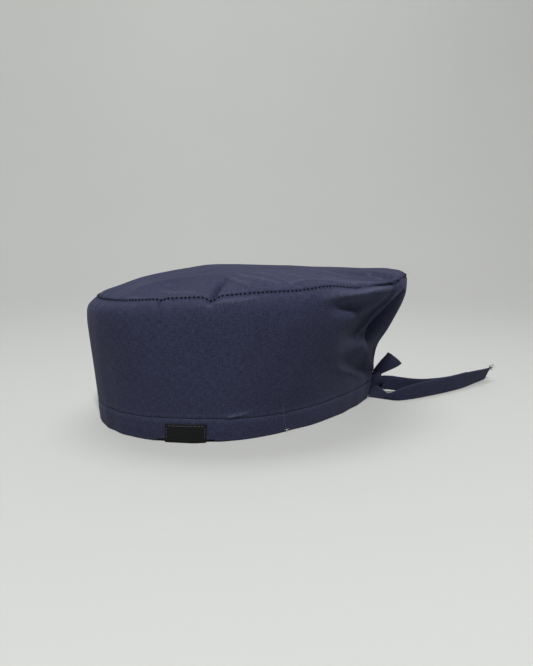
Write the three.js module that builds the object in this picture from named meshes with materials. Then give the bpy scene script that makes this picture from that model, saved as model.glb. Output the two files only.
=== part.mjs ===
// A tie-back scrub cap of thin navy cotton, standing on its hem as it is put down after wear.
// Millimetres, +Z up. The wearer faces -Y and the wearer's left is +X. The origin lies on the
// surface that the cap stands on, below the middle of the cap without its ties.
// An angle goes round the cap from the centre front: 90 is the wearer's left and 180 the nape.
import * as THREE from "three";

// Cloth
const clothWall = 1.2;
const hemWall = 2.4;
const hemHeight = 15;
const clearance = 0.3;

// Crown seam and crown: heights above the table, and the place of the crown's highest point
const seamFrontHeight = 84.9;
const seamBackHeight = 97.8;
const crownHeight = 104.4;
const crownPeakY = -18;
const crownFrontPlump = 1.2;
const crownBackPlump = 3.0;
const crownPlumpPower = 18;
const crownFrontPower = 2.2;
const crownBackPower = 1.3;
const puckerFadeUp = 10;
const puckerFadeIn = 12;

// Outline of the band at a few heights. "up" is the share of the way from the hem edge to the
// crown seam. "front", "back" and "side" are reaches from the origin, "widest" is where the
// widest line lies along Y, and "pinch" is how much the half behind it narrows to the nape.
const bandSections = [
  { up: 0.0, front: 111.6, back: 92.5, side: 71.7, widest: -31.3, pinch: 0.48 },
  { up: 0.17, front: 112.4, back: 95.5, side: 73.8, widest: -29.3, pinch: 0.46 },
  { up: 0.36, front: 113.6, back: 95.6, side: 77.0, widest: -24.0, pinch: 0.38 },
  { up: 0.46, front: 114.3, back: 96.6, side: 78.9, widest: -21.0, pinch: 0.31 },
  { up: 0.56, front: 115.1, back: 103.4, side: 80.7, widest: -17.8, pinch: 0.24 },
  { up: 0.7, front: 116.2, back: 111.0, side: 83.3, widest: -13.5, pinch: 0.14 },
  { up: 0.84, front: 117.0, back: 114.2, side: 85.6, widest: -9.5, pinch: 0.05 },
  { up: 0.93, front: 115.8, back: 116.2, side: 86.0, widest: -8.0, pinch: 0.0 },
  { up: 1.0, front: 110.0, back: 115.6, side: 83.8, widest: -8.0, pinch: 0.0 },
];

// Folds of the band. Each is a soft ridge, or a valley where its depth is negative. It leans
// from the angle "low" to the angle "high" between two shares of the height, "from" and "to".
const bandFolds = [
  { low: 121, high: 141, from: 0.58, to: 1.0, depth: 2.6, width: 4.5 },
  { low: 141, high: 138, from: 0.46, to: 1.0, depth: -6.5, width: 6 },
  { low: 166, high: 150, from: 0.26, to: 1.0, depth: 1.8, width: 6 },
  { low: 172, high: 120, from: 0.17, to: 0.66, depth: 1.2, width: 7 },
  { low: 160, high: 126, from: 0.17, to: 0.5, depth: -1.6, width: 6 },
  { low: 106, high: 110, from: -0.2, to: 0.34, depth: -1.3, width: 7 },
  { low: 172, high: 168, from: 0.17, to: 0.8, depth: -2.4, width: 4 },
  { low: 181, high: 183, from: 0.17, to: 0.86, depth: 2.0, width: 5 },
  { low: 190, high: 196, from: 0.17, to: 0.8, depth: -2.6, width: 4.5 },
  { low: 197, high: 212, from: 0.2, to: 1.0, depth: 2.4, width: 6 },
  { low: 214, high: 224, from: 0.4, to: 1.0, depth: -5.0, width: 6.5 },
  { low: 200, high: 238, from: 0.17, to: 0.72, depth: 1.4, width: 7 },
  { low: 238, high: 226, from: 0.6, to: 1.0, depth: 1.8, width: 5 },
];

// Puckers of the crown seam, where the seam line dips
const seamPuckers = [
  { angle: 53.5, drop: 0.9, width: 2.5 },
  { angle: 70, drop: 1.8, width: 3.2 },
  { angle: 126, drop: 1.8, width: 8 },
  { angle: 232, drop: 1.6, width: 8 },
  { angle: 301, drop: 1.2, width: 4 },
];

// Soft folds of the crown. Each starts at the seam at "angle" and ends at "end", after the share
// "reach" of the way in to the crown's highest point.
const crownFolds = [
  { angle: 68, end: 88, reach: 0.5, depth: -2.2, width: 9 },
  { angle: 84, end: 100, reach: 0.55, depth: 1.3, width: 7 },
  { angle: 50, end: 52, reach: 0.6, depth: -1.1, width: 9 },
  { angle: 128, end: 136, reach: 0.34, depth: -3.2, width: 9 },
  { angle: 146, end: 142, reach: 0.4, depth: 1.4, width: 7 },
  { angle: 230, end: 224, reach: 0.36, depth: -2.6, width: 10 },
  { angle: 296, end: 284, reach: 0.5, depth: -1.5, width: 10 },
  { angle: 16, end: 24, reach: 0.5, depth: -0.9, width: 8 },
  { angle: 338, end: 330, reach: 0.5, depth: -0.9, width: 9 },
];

// Waves of the hem's stitched upper edge, upwards where "rise" is positive
const hemWaves = [
  { angle: 68, rise: 1.0, width: 20 },
  { angle: 106, rise: -1.2, width: 16 },
];

// Opening of the casing at the nape, as an angle on either side of the centre back
const casingOpening = 4.5;

// Woven label folded round the hem's lower edge
const labelAngle = 68.2;
const labelWidth = 25;
const labelHeight = 12.2;
const labelWall = 1.0;
const labelFootHeight = 0.1;
const labelSteps = 8;
const hemLift = labelFootHeight + labelWall + clearance;
const hemLiftFlat = labelWidth / 2 + 3;
const hemLiftRamp = 6;
const hemLiftSteps = 14;

// Ties: one flat folded tape, its knot at the nape and the routes of its ends. A route is the way
// of the tape's lower edge: "lift" is its height above the table, and "lean" is how far the upper
// edge tips to the left of the run, in degrees.
const tapeWall = 1.2;
const knotCentre = new THREE.Vector3(3.2, 99.8, 13.6);
const knotHalf = new THREE.Vector3(5.4, 4.6, 5.4);
const knotWrapDepth = 0.14;
const knotWrapWidth = 0.32;
const leftTailRoute = [
  { x: 7.6, y: 91.1, lift: 0.6, lean: 40, width: 10.2 },
  { x: 10.8, y: 94.0, lift: 0.3, lean: 36, width: 10 },
  { x: 13.6, y: 97.0, lift: 0.2, lean: 28, width: 8.6 },
  { x: 15.9, y: 99.6, lift: 0.2, lean: 18, width: 6.6 },
  { x: 18.1, y: 101.9, lift: 0.2, lean: 8, width: 5.0 },
  { x: 20.3, y: 104.2, lift: 0.2, lean: 2, width: 5.8 },
  { x: 22.2, y: 106.6, lift: 0.2, lean: 0, width: 7.8 },
  { x: 23.3, y: 109.4, lift: 0.2, lean: 0, width: 9.4 },
  { x: 23.4, y: 112.8, lift: 0.2, lean: 0, width: 10.4 },
  { x: 22.8, y: 117.5, lift: 0.2, lean: 0, width: 11.2 },
  { x: 21.6, y: 126.1, lift: 0.2, lean: -1, width: 12.3 },
  { x: 19.3, y: 136.2, lift: 0.2, lean: -2, width: 12.8 },
  { x: 17.1, y: 144.2, lift: 0.2, lean: -2, width: 13 },
  { x: 14.7, y: 152.3, lift: 0.2, lean: -2, width: 13 },
  { x: 11.9, y: 161.5, lift: 0.2, lean: -1, width: 13.1 },
  { x: 8.7, y: 170.8, lift: 0.2, lean: 0, width: 13.1 },
  { x: 4.2, y: 181.2, lift: 0.2, lean: -3, width: 13 },
  { x: -1.0, y: 191.3, lift: 0.2, lean: -9, width: 12.8 },
  { x: -7.4, y: 203.4, lift: 0.2, lean: -16, width: 12.5 },
  { x: -14.8, y: 216.0, lift: 0.2, lean: -22, width: 12.2 },
];
const rightTailRoute = [
  { x: 4.3, y: 104.8, lift: 4.8, lean: 0, width: 11 },
  { x: 4.9, y: 108.8, lift: 4.2, lean: -2, width: 11.6 },
  { x: 5.6, y: 112.8, lift: 3.5, lean: -3, width: 12 },
  { x: 6.4, y: 116.8, lift: 2.8, lean: -4, width: 12 },
  { x: 7.4, y: 120.8, lift: 2.2, lean: -4, width: 12 },
  { x: 8.4, y: 124.8, lift: 1.6, lean: -3, width: 12 },
  { x: 9.4, y: 128.8, lift: 1.1, lean: -2, width: 12 },
  { x: 10.2, y: 132.8, lift: 0.7, lean: 0, width: 12 },
  { x: 10.8, y: 136.8, lift: 0.4, lean: 1, width: 12 },
  { x: 11.0, y: 140.8, lift: 0.2, lean: 2, width: 12 },
  { x: 11.1, y: 145.4, lift: 0.2, lean: 2, width: 12 },
  { x: 10.8, y: 150.0, lift: 0.2, lean: 1, width: 12 },
  { x: 10.2, y: 154.6, lift: 0.2, lean: 0, width: 12 },
  { x: 9.3, y: 159.2, lift: 0.2, lean: 0, width: 12 },
  { x: 8.2, y: 163.8, lift: 0.2, lean: 0, width: 12 },
  { x: 6.8, y: 168.4, lift: 0.2, lean: 0, width: 12 },
  { x: 5.1, y: 173.0, lift: 0.2, lean: 0, width: 12 },
  { x: 3.2, y: 177.6, lift: 0.2, lean: 0, width: 12 },
  { x: 1.0, y: 182.2, lift: 0.2, lean: -2, width: 12 },
  { x: -1.4, y: 186.8, lift: 0.2, lean: -4, width: 12 },
];

// Short loop of tape that stands up behind the knot: out along its near layer and back along the
// far one. "out" is the way from the knot, "aside" is how far the layer lies towards the wearer's
// left, and "skew" is how far the tape's width turns away from square to its run, in degrees.
const loopRoot = new THREE.Vector3(2.6, 101.3, 19.4);
const loopRise = 32;
const loopLayers = [
  { out: 0.6, aside: 1.5, width: 7, skew: 4 },
  { out: 4.5, aside: 2.1, width: 8.6, skew: 8 },
  { out: 9.0, aside: 2.5, width: 10.8, skew: 14 },
  { out: 13.6, aside: 2.4, width: 12.6, skew: 19 },
  { out: 16.8, aside: 1.6, width: 13.2, skew: 22 },
  { out: 17.8, aside: 0.0, width: 13.3, skew: 22 },
  { out: 16.8, aside: -1.6, width: 13.2, skew: 22 },
  { out: 13.6, aside: -2.2, width: 12.6, skew: 19 },
  { out: 9.0, aside: -2.1, width: 10.8, skew: 14 },
  { out: 4.5, aside: -1.7, width: 8.6, skew: 8 },
  { out: 0.6, aside: -1.2, width: 7, skew: 4 },
];

// Fineness of the faceted solids
const anglesRound = 92;
const angleCrowding = 20;
const bandLevels = 12;
const crownRings = 9;
const hemLevels = 2;
const tapeStepsPerRow = 2;
const knotSidesRound = 22;
const knotSidesUp = 14;

const clothMaterial = { color: 0x2b2d45, roughness: 0.85, metalness: 0 };
const tapeMaterial = { color: 0x202338, roughness: 0.85, metalness: 0 };
const labelMaterial = { color: 0x17181a, roughness: 0.7, metalness: 0 };

function bell(offset) {
  return Math.exp(-offset * offset);
}

function cosine(angle) {
  return Math.cos(THREE.MathUtils.degToRad(angle));
}

function sine(angle) {
  return Math.sin(THREE.MathUtils.degToRad(angle));
}

// Smooth value of one column of the band's sections at a share of its height
function sectionValue(up, column) {
  const rows = bandSections;
  let low = 0;
  while (low < rows.length - 2 && rows[low + 1].up <= up) {
    low += 1;
  }
  const slope = (row) => {
    const below = rows[Math.max(row - 1, 0)];
    const above = rows[Math.min(row + 1, rows.length - 1)];
    return (above[column] - below[column]) / (above.up - below.up);
  };
  const span = rows[low + 1].up - rows[low].up;
  const s = (up - rows[low].up) / span;
  const start = rows[low][column] * (2 * s ** 3 - 3 * s ** 2 + 1);
  const end = rows[low + 1][column] * (3 * s ** 2 - 2 * s ** 3);
  const leave = slope(low) * span * (s ** 3 - 2 * s ** 2 + s);
  const arrive = slope(low + 1) * span * (s ** 3 - s ** 2);
  return start + end + leave + arrive;
}

// Value that goes from one at the centre front to another at the nape
function frontToBack(front, back, angle) {
  return (front + back) / 2 + ((front - back) / 2) * cosine(angle);
}

function seamHeight(angle) {
  return frontToBack(seamFrontHeight, seamBackHeight, angle);
}

function seamDrop(angle) {
  return seamPuckers.reduce((sum, row) => sum + row.drop * bell((angle - row.angle) / row.width), 0);
}

// Outer face of the band before its folds
function bandOutline(angle, up) {
  const front = sectionValue(up, "front");
  const back = sectionValue(up, "back");
  const widest = sectionValue(up, "widest");
  const turn = cosine(angle);
  const isBehind = turn < 0;
  const reach = isBehind ? back - widest : front + widest;
  const narrowing = isBehind ? 1 - sectionValue(up, "pinch") * turn * turn : 1;
  const x = sectionValue(up, "side") * sine(angle) * narrowing;
  const z = up * seamHeight(angle) - seamDrop(angle) * up ** puckerFadeUp;
  return new THREE.Vector3(x, widest - reach * turn, z);
}

function foldDepth(angle, up) {
  return bandFolds.reduce((sum, row) => {
    const along = (up - row.from) / (row.to - row.from);
    if (along <= 0 || along >= 1) {
      return sum;
    }
    const centre = row.low + (row.high - row.low) * along;
    return sum + row.depth * Math.sin(Math.PI * along) * bell((angle - centre) / row.width);
  }, 0);
}

// Outer face of the band with its folds, which move it level, square to its outline
function bandSurface(angle, up) {
  const step = 0.5;
  const along = bandOutline(angle + step, up).sub(bandOutline(angle - step, up));
  const outward = new THREE.Vector3(along.y, -along.x, 0).normalize();
  return bandOutline(angle, up).addScaledVector(outward, foldDepth(angle, up));
}

function crownFoldDepth(angle, inward) {
  return crownFolds.reduce((sum, row) => {
    const along = inward / row.reach;
    if (along <= 0 || along >= 1) {
      return sum;
    }
    const centre = row.angle + (row.end - row.angle) * along;
    return sum + row.depth * Math.sin(Math.PI * along) * bell((angle - centre) / row.width);
  }, 0);
}

// Outer face of the crown, from its seam at 0 in to its highest point at 1
function crownSurface(angle, inward) {
  const seam = bandOutline(angle, 1);
  const out = 1 - inward;
  const power = frontToBack(crownFrontPower, crownBackPower, angle);
  const fullness = frontToBack(crownFrontPlump, crownBackPlump, angle);
  const domeTop = crownHeight - fullness;
  const edge = seamHeight(angle) + clearance + clothWall;
  const dome = domeTop + (edge - domeTop) * out ** power;
  const plump = fullness * (1 - out ** crownPlumpPower);
  const pucker = seamDrop(angle) * out ** puckerFadeIn;
  const z = dome + plump - pucker + crownFoldDepth(angle, inward);
  return new THREE.Vector3(seam.x * out, crownPeakY + (seam.y - crownPeakY) * out, z);
}

// Outward direction of a surface at a place on it
function outwardAt(surface, angle, level) {
  const angleStep = 0.4;
  const levelStep = 0.004;
  const low = Math.max(level - levelStep, 0);
  const high = Math.min(level + levelStep, 1);
  const round = surface(angle + angleStep, level).sub(surface(angle - angleStep, level));
  const across = surface(angle, high).sub(surface(angle, low));
  return round.cross(across).normalize();
}

// Angles round the cap, closer together towards the nape where the folds are
function crowdedAngles(count) {
  return Array.from({ length: count }, (_, i) => {
    const even = (360 * i) / count;
    return even + angleCrowding * sine(even);
  });
}

function evenLevels(low, high, count) {
  return Array.from({ length: count + 1 }, (_, i) => low + ((high - low) * i) / count);
}

// Closed geometry from triangles given as corner points, without those that have shrunk to a line
function geometryOf(triangles) {
  const tiny = 1e-6;
  const kept = triangles.filter(
    ([a, b, c]) => a.distanceTo(b) > tiny && b.distanceTo(c) > tiny && c.distanceTo(a) > tiny,
  );
  const geometry = new THREE.BufferGeometry().setFromPoints(kept.flat());
  geometry.computeVertexNormals();
  return geometry;
}

// Solid between two faces of cloth, each a grid of rows of points that runs round the cap.
// Where the rows don't close on themselves, the two ends are closed off as well.
function clothSolid(outer, inner, isRing) {
  const triangles = [];
  const quad = (a, b, c, d) => triangles.push([a, b, c], [a, c, d]);
  const rows = outer.length;
  const count = outer[0].length;
  const steps = isRing ? count : count - 1;
  for (let j = 0; j < steps; j += 1) {
    const next = (j + 1) % count;
    for (let i = 0; i < rows - 1; i += 1) {
      quad(outer[i][j], outer[i][next], outer[i + 1][next], outer[i + 1][j]);
      quad(inner[i][j], inner[i + 1][j], inner[i + 1][next], inner[i][next]);
    }
    quad(outer[0][j], inner[0][j], inner[0][next], outer[0][next]);
    quad(outer[rows - 1][j], outer[rows - 1][next], inner[rows - 1][next], inner[rows - 1][j]);
  }
  if (!isRing) {
    const end = count - 1;
    for (let i = 0; i < rows - 1; i += 1) {
      quad(outer[i][0], outer[i + 1][0], inner[i + 1][0], inner[i][0]);
      quad(outer[i][end], inner[i][end], inner[i + 1][end], outer[i + 1][end]);
    }
  }
  return geometryOf(triangles);
}

function hemTop(angle) {
  const wave = hemWaves.reduce((sum, row) => sum + row.rise * bell((angle - row.angle) / row.width), 0);
  return hemHeight + wave;
}

function sideBand() {
  const angles = crowdedAngles(anglesRound);
  const footShare = (angle) => (hemTop(angle) + clearance) / seamHeight(angle);
  const shares = evenLevels(0, 1, bandLevels);
  const upAt = (angle, share) => footShare(angle) + (1 - footShare(angle)) * share;
  const outer = shares.map((share) => angles.map((angle) => bandSurface(angle, upAt(angle, share))));
  const inner = outer.map((row, i) =>
    row.map((point, j) => {
      const outward = outwardAt(bandSurface, angles[j], upAt(angles[j], shares[i]));
      return point.clone().addScaledVector(outward, -clothWall);
    }),
  );
  return clothSolid(outer, inner, true);
}

function crownPanel() {
  const angles = crowdedAngles(anglesRound);
  const ringPower = 1.5;
  const levels = evenLevels(0, 1, crownRings).map((level) => level ** ringPower);
  const outer = levels.map((level) => angles.map((angle) => crownSurface(angle, level)));
  const inner = outer.map((row, i) =>
    row.map((point, j) => {
      const isPeak = levels[i] === 1;
      const up = new THREE.Vector3(0, 0, 1);
      const outward = isPeak ? up : outwardAt(crownSurface, angles[j], levels[i]);
      return point.clone().addScaledVector(outward, -clothWall);
    }),
  );
  return clothSolid(outer, inner, true);
}

// Level direction out of the hem, square to its outline
function hemOutward(angle) {
  const outward = outwardAt(bandSurface, angle, hemHeight / seamHeight(angle) / 2);
  return outward.setZ(0).normalize();
}

// Way along the hem from the middle of the label
function alongHem(angle) {
  const step = 1;
  const perDegree = bandOutline(labelAngle + step, 0).distanceTo(bandOutline(labelAngle - step, 0)) / 2;
  return (angle - labelAngle) * perDegree;
}

// Height of the hem's lower edge: on the table, but raised over the label's fold
function hemFoot(angle) {
  const past = Math.max(Math.abs(alongHem(angle)) - hemLiftFlat, 0) / hemLiftRamp;
  return hemLift * (1 - THREE.MathUtils.smoothstep(past, 0, 1));
}

// Point on the hem at a height, moved out of its outer face by an offset
function hemPoint(angle, height, offset) {
  const point = bandSurface(angle, height / seamHeight(angle));
  point.z = height;
  return point.addScaledVector(hemOutward(angle), offset);
}

// Angles of the hem from one side of its opening to the other, closer together over the label
function hemAngles() {
  const opening = 180 - casingOpening;
  const zone = (hemLiftFlat + hemLiftRamp) / alongHem(labelAngle + 1);
  const isPlain = (angle) => Math.abs(angle) < opening - 1 && Math.abs(angle - labelAngle) > zone + 1;
  const round = crowdedAngles(anglesRound).map((angle) => (angle > 180 ? angle - 360 : angle));
  const close = evenLevels(labelAngle - zone, labelAngle + zone, hemLiftSteps);
  const angles = [-opening, ...round.filter(isPlain), ...close, opening].sort((a, b) => a - b);
  return angles.map((angle) => (angle < 0 ? angle + 360 : angle));
}

function hemCasing() {
  const angles = hemAngles();
  const shares = evenLevels(0, 1, hemLevels);
  const heightAt = (angle, share) => THREE.MathUtils.lerp(hemFoot(angle), hemTop(angle), share);
  const face = (offset) =>
    shares.map((share) => angles.map((angle) => hemPoint(angle, heightAt(angle, share), offset)));
  return clothSolid(face(0), face(-hemWall), false);
}

// Label: a strip that comes down the outside of the hem, under its edge and up the inside
function hemLabel() {
  const half = labelWidth / 2;
  const perDegree = alongHem(labelAngle + 1);
  const angles = evenLevels(labelAngle - half / perDegree, labelAngle + half / perDegree, labelSteps);
  const top = labelFootHeight + labelHeight;
  const foot = labelFootHeight;
  const out = clearance;
  const back = -hemWall - clearance;
  const outerPath = [
    { height: top, offset: out + labelWall },
    { height: foot + labelWall, offset: out + labelWall },
    { height: foot, offset: out },
    { height: foot, offset: back },
    { height: foot + labelWall, offset: back - labelWall },
    { height: top, offset: back - labelWall },
  ];
  const innerPath = [
    { height: top, offset: out },
    { height: foot + labelWall, offset: out },
    { height: foot + labelWall, offset: out - labelWall / 4 },
    { height: foot + labelWall, offset: back + labelWall / 4 },
    { height: foot + labelWall, offset: back },
    { height: top, offset: back },
  ];
  const face = (path) => path.map((row) => angles.map((angle) => hemPoint(angle, row.height, row.offset)));
  return clothSolid(face(innerPath), face(outerPath), false);
}

// Smooth run of a flat tape through stations that each hold its middle, width direction and width
function tapeSolid(stations) {
  const middles = new THREE.CatmullRomCurve3(stations.map((row) => row.middle), false, "catmullrom");
  const steps = (stations.length - 1) * tapeStepsPerRow;
  const sections = evenLevels(0, 1, steps).map((share) => {
    const place = share * (stations.length - 1);
    const low = Math.min(Math.floor(place), stations.length - 2);
    const part = place - low;
    const middle = middles.getPoint(share);
    const run = middles.getTangent(share);
    const across = stations[low].across.clone().lerp(stations[low + 1].across, part).normalize();
    const half = THREE.MathUtils.lerp(stations[low].width, stations[low + 1].width, part) / 2;
    const face = across.clone().cross(run).normalize();
    const corner = (sideways, outward) =>
      middle
        .clone()
        .addScaledVector(across, sideways * half)
        .addScaledVector(face, (outward * tapeWall) / 2);
    const row = (outward) => [-1, 0, 1].map((sideways) => corner(sideways, outward));
    return { near: row(1), far: row(-1) };
  });
  const near = sections.map((section) => section.near);
  const far = sections.map((section) => section.far);
  return clothSolid(near, far, false);
}

// Stations of a tail, from its route on the table
function tailStations(route) {
  return route.map((row, i) => {
    const before = route[Math.max(i - 1, 0)];
    const after = route[Math.min(i + 1, route.length - 1)];
    const left = new THREE.Vector3(before.y - after.y, after.x - before.x, 0).normalize();
    const across = new THREE.Vector3(0, 0, cosine(row.lean)).addScaledVector(left, sine(row.lean));
    const foot = new THREE.Vector3(row.x, row.y, row.lift + (tapeWall / 2) * Math.abs(sine(row.lean)));
    return { middle: foot.addScaledVector(across, row.width / 2), across, width: row.width };
  });
}

function tieTail(route) {
  return tapeSolid(tailStations(route));
}

function tieLoop() {
  const outDirection = new THREE.Vector3(0, cosine(loopRise), sine(loopRise));
  const stations = loopLayers.map((row) => {
    const turn = loopRise + row.skew;
    const across = new THREE.Vector3(0, -sine(turn), cosine(turn));
    const middle = loopRoot.clone().addScaledVector(outDirection, row.out);
    middle.x += row.aside;
    return { middle, across, width: row.width };
  });
  return tapeSolid(stations);
}

// Knot: a rounded lump with the groove of its wrap round the middle
function tieKnot() {
  const geometry = new THREE.SphereGeometry(1, knotSidesRound, knotSidesUp);
  const position = geometry.getAttribute("position");
  for (let i = 0; i < position.count; i += 1) {
    const point = new THREE.Vector3().fromBufferAttribute(position, i);
    const groove = 1 - knotWrapDepth * bell((point.y + point.z / 2 - knotWrapWidth) / knotWrapWidth);
    point.multiplyScalar(groove).multiply(knotHalf).add(knotCentre);
    position.setXYZ(i, point.x, point.y, point.z);
  }
  geometry.computeVertexNormals();
  return geometry;
}

function piece(name, geometry, finish) {
  const mesh = new THREE.Mesh(geometry, new THREE.MeshStandardMaterial(finish));
  mesh.name = name;
  return mesh;
}

const cap = new THREE.Group();
cap.add(piece("crown_panel", crownPanel(), clothMaterial));
cap.add(piece("side_band", sideBand(), clothMaterial));
cap.add(piece("hem_casing", hemCasing(), clothMaterial));
cap.add(piece("hem_label", hemLabel(), labelMaterial));
cap.add(piece("tie_knot", tieKnot(), tapeMaterial));
cap.add(piece("tie_loop", tieLoop(), tapeMaterial));
cap.add(piece("tie_tail_left", tieTail(leftTailRoute), tapeMaterial));
cap.add(piece("tie_tail_right", tieTail(rightTailRoute), tapeMaterial));

export default cap;
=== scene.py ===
import math

import bpy
import numpy as np
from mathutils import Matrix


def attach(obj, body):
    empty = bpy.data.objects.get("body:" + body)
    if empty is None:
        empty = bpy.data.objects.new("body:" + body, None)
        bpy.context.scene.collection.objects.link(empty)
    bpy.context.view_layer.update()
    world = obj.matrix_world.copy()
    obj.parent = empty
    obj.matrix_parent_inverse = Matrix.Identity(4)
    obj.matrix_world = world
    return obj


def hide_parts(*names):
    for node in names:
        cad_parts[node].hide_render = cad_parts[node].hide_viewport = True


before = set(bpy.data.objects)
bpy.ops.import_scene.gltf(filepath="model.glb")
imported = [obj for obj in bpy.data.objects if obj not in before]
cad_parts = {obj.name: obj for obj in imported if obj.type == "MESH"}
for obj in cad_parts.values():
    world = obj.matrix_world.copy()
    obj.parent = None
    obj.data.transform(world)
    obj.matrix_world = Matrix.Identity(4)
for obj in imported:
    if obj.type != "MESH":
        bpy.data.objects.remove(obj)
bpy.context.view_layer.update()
draws = np.random.default_rng(11)  # the only source of chance, seeded
mm = 0.001
print("frame loaded with", len(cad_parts), "solids")

# camera, at the photo's angle to the cap
view = {
    "place": (0.378, -0.098, 0.120),
    "turn": 74.13,          # degrees from +Y towards -X
    "down": 9.54,
    "focalPixels": 533.0,   # measured on a picture 666 pixels high
    "pictureHeight": 666.0,
    "sensor": 36.0,
}
cameraData = bpy.data.cameras.new("view_camera")
cameraData.sensor_width = view["sensor"]
cameraData.lens = view["sensor"] * view["focalPixels"] / view["pictureHeight"]
cameraData.clip_start = 0.01
camera = bpy.data.objects.new("view_camera", cameraData)
camera.location = view["place"]
camera.rotation_euler = (math.radians(90 - view["down"]), 0, math.radians(view["turn"]))
bpy.context.scene.collection.objects.link(camera)
bpy.context.scene.camera = camera
print("camera set")


# small tools

def hexToLinear(code):
    channels = [int(code[i:i + 2], 16) / 255 for i in (1, 3, 5)]
    linear = [c / 12.92 if c <= 0.04045 else ((c + 0.055) / 1.055) ** 2.4 for c in channels]
    return (*linear, 1.0)


def addNode(material, kind, settings, links):
    node = material.node_tree.nodes.new("ShaderNode" + kind)
    for key, value in settings.items():
        if isinstance(key, str) and hasattr(node, key):
            setattr(node, key, value)
        else:
            node.inputs[key].default_value = value
    for socket, (source, output) in links.items():
        material.node_tree.links.new(source.outputs[output], node.inputs[socket])
    return node


def newMaterial(name):
    material = bpy.data.materials.new(name)
    material.use_nodes = True
    material.node_tree.nodes.clear()
    return material


def bell(offset):
    return np.exp(-offset * offset)


def unit(vectors):
    return vectors / np.maximum(np.linalg.norm(vectors, axis=-1, keepdims=True), 1e-9)


# distance travelled along a line of points
def runAlong(points):
    return np.concatenate([[0], np.cumsum(np.linalg.norm(np.diff(points, axis=0), axis=1))])


# level direction to the right of a run, which is outward on the cap
def rightOf(run):
    return unit(np.stack([run[..., 1], -run[..., 0], np.zeros_like(run[..., 0])], -1))


def pairs(first, second):
    return np.stack(np.broadcast_arrays(first, second), -1)


# a mesh from points in millimetres, faces and one flat coordinate pair for each face corner
def makeMesh(name, points, faces, flatCorners, material, wearAndShade=None):
    mesh = bpy.data.meshes.new(name)
    mesh.from_pydata((points * mm).tolist(), [], faces)
    if flatCorners is not None:
        layer = mesh.uv_layers.new(name="flat")
        layer.data.foreach_set("uv", (np.asarray(flatCorners, float) * mm).ravel())
    if wearAndShade is not None:
        rubbedAndShaded = np.zeros(len(points))
        rubbedAndShaded[:wearAndShade.size] = wearAndShade.ravel()
        mesh.attributes.new("wearAndShade", "FLOAT", "POINT").data.foreach_set("value", rubbedAndShaded)
    mesh.shade_smooth()
    mesh.materials.append(material)
    piece = bpy.data.objects.new(name, mesh)
    bpy.context.scene.collection.objects.link(piece)
    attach(piece, "root")
    return piece


# corner indices of a grid's quads, and the same for the flat grid that has one more column on a ring
def gridQuads(rows, columns, isRing):
    steps = columns if isRing else columns - 1
    r, c = np.meshgrid(np.arange(rows - 1), np.arange(steps), indexing="ij")
    r, c = r.ravel(), c.ravel()
    corners = ((0, 0), (0, 1), (1, 1), (1, 0))
    quads = np.stack([(r + down) * columns + (c + right) % columns for down, right in corners], -1)
    flat = np.stack([(r + down) * (steps + 1) + c + right for down, right in corners], -1)
    return quads, flat


# outward directions of a grid of points, from its neighbours along and across
def gridNormals(grid, isRing):
    if isRing:
        along = np.roll(grid, -1, 1) - np.roll(grid, 1, 1)
    else:
        along = np.gradient(grid, axis=1)
    across = np.gradient(grid, axis=0)
    return unit(np.cross(along, across))


# closed cloth of one thickness from a grid of its outer face; its unseen inner face may have fewer points
def clothMesh(name, outer, thickness, isRing, flat, skip, material, wearAndShade):
    rows, columns = outer.shape[:2]
    inner = (outer - gridNormals(outer, isRing) * thickness)[::skip, ::skip]
    innerFlat = flat[::skip, ::skip]
    innerRows, innerColumns = inner.shape[:2]
    start = rows * columns
    points = np.concatenate([outer.reshape(-1, 3), inner.reshape(-1, 3)])
    quads, flatQuads = gridQuads(rows, columns, isRing)
    innerQuads, innerFlatQuads = gridQuads(innerRows, innerColumns, isRing)
    faces = quads.tolist() + (innerQuads[:, ::-1] + start).tolist()
    corners = [flat.reshape(-1, 2)[flatQuads].reshape(-1, 2),
               innerFlat.reshape(-1, 2)[innerFlatQuads[:, ::-1]].reshape(-1, 2)]
    rims = []
    for row, innerRow, flips in ((0, 0, True), (rows - 1, innerRows - 1, False)):
        for k in range(innerColumns if isRing else innerColumns - 1):
            far = [(row, k * skip + step) for step in range(skip + 1)]
            near = [(innerRow, k + 1), (innerRow, k)]
            rims.append((far, near, flips))
    if not isRing:
        for column, innerColumn, flips in ((0, 0, False), (columns - 1, innerColumns - 1, True)):
            for k in range(innerRows - 1):
                far = [(k * skip + step, column) for step in range(skip + 1)]
                near = [(k + 1, innerColumn), (k, innerColumn)]
                rims.append((far, near, flips))
    for far, near, flips in rims:
        face = [r * columns + c % columns for r, c in far]
        face += [start + r * innerColumns + c % innerColumns for r, c in near]
        laid = [flat[r, c] for r, c in far] + [innerFlat[r, c] for r, c in near]
        faces.append(face[::-1] if flips else face)
        corners.append(np.array(laid[::-1] if flips else laid))
    return makeMesh(name, points, faces, np.concatenate(corners), material, wearAndShade)


# materials

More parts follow.
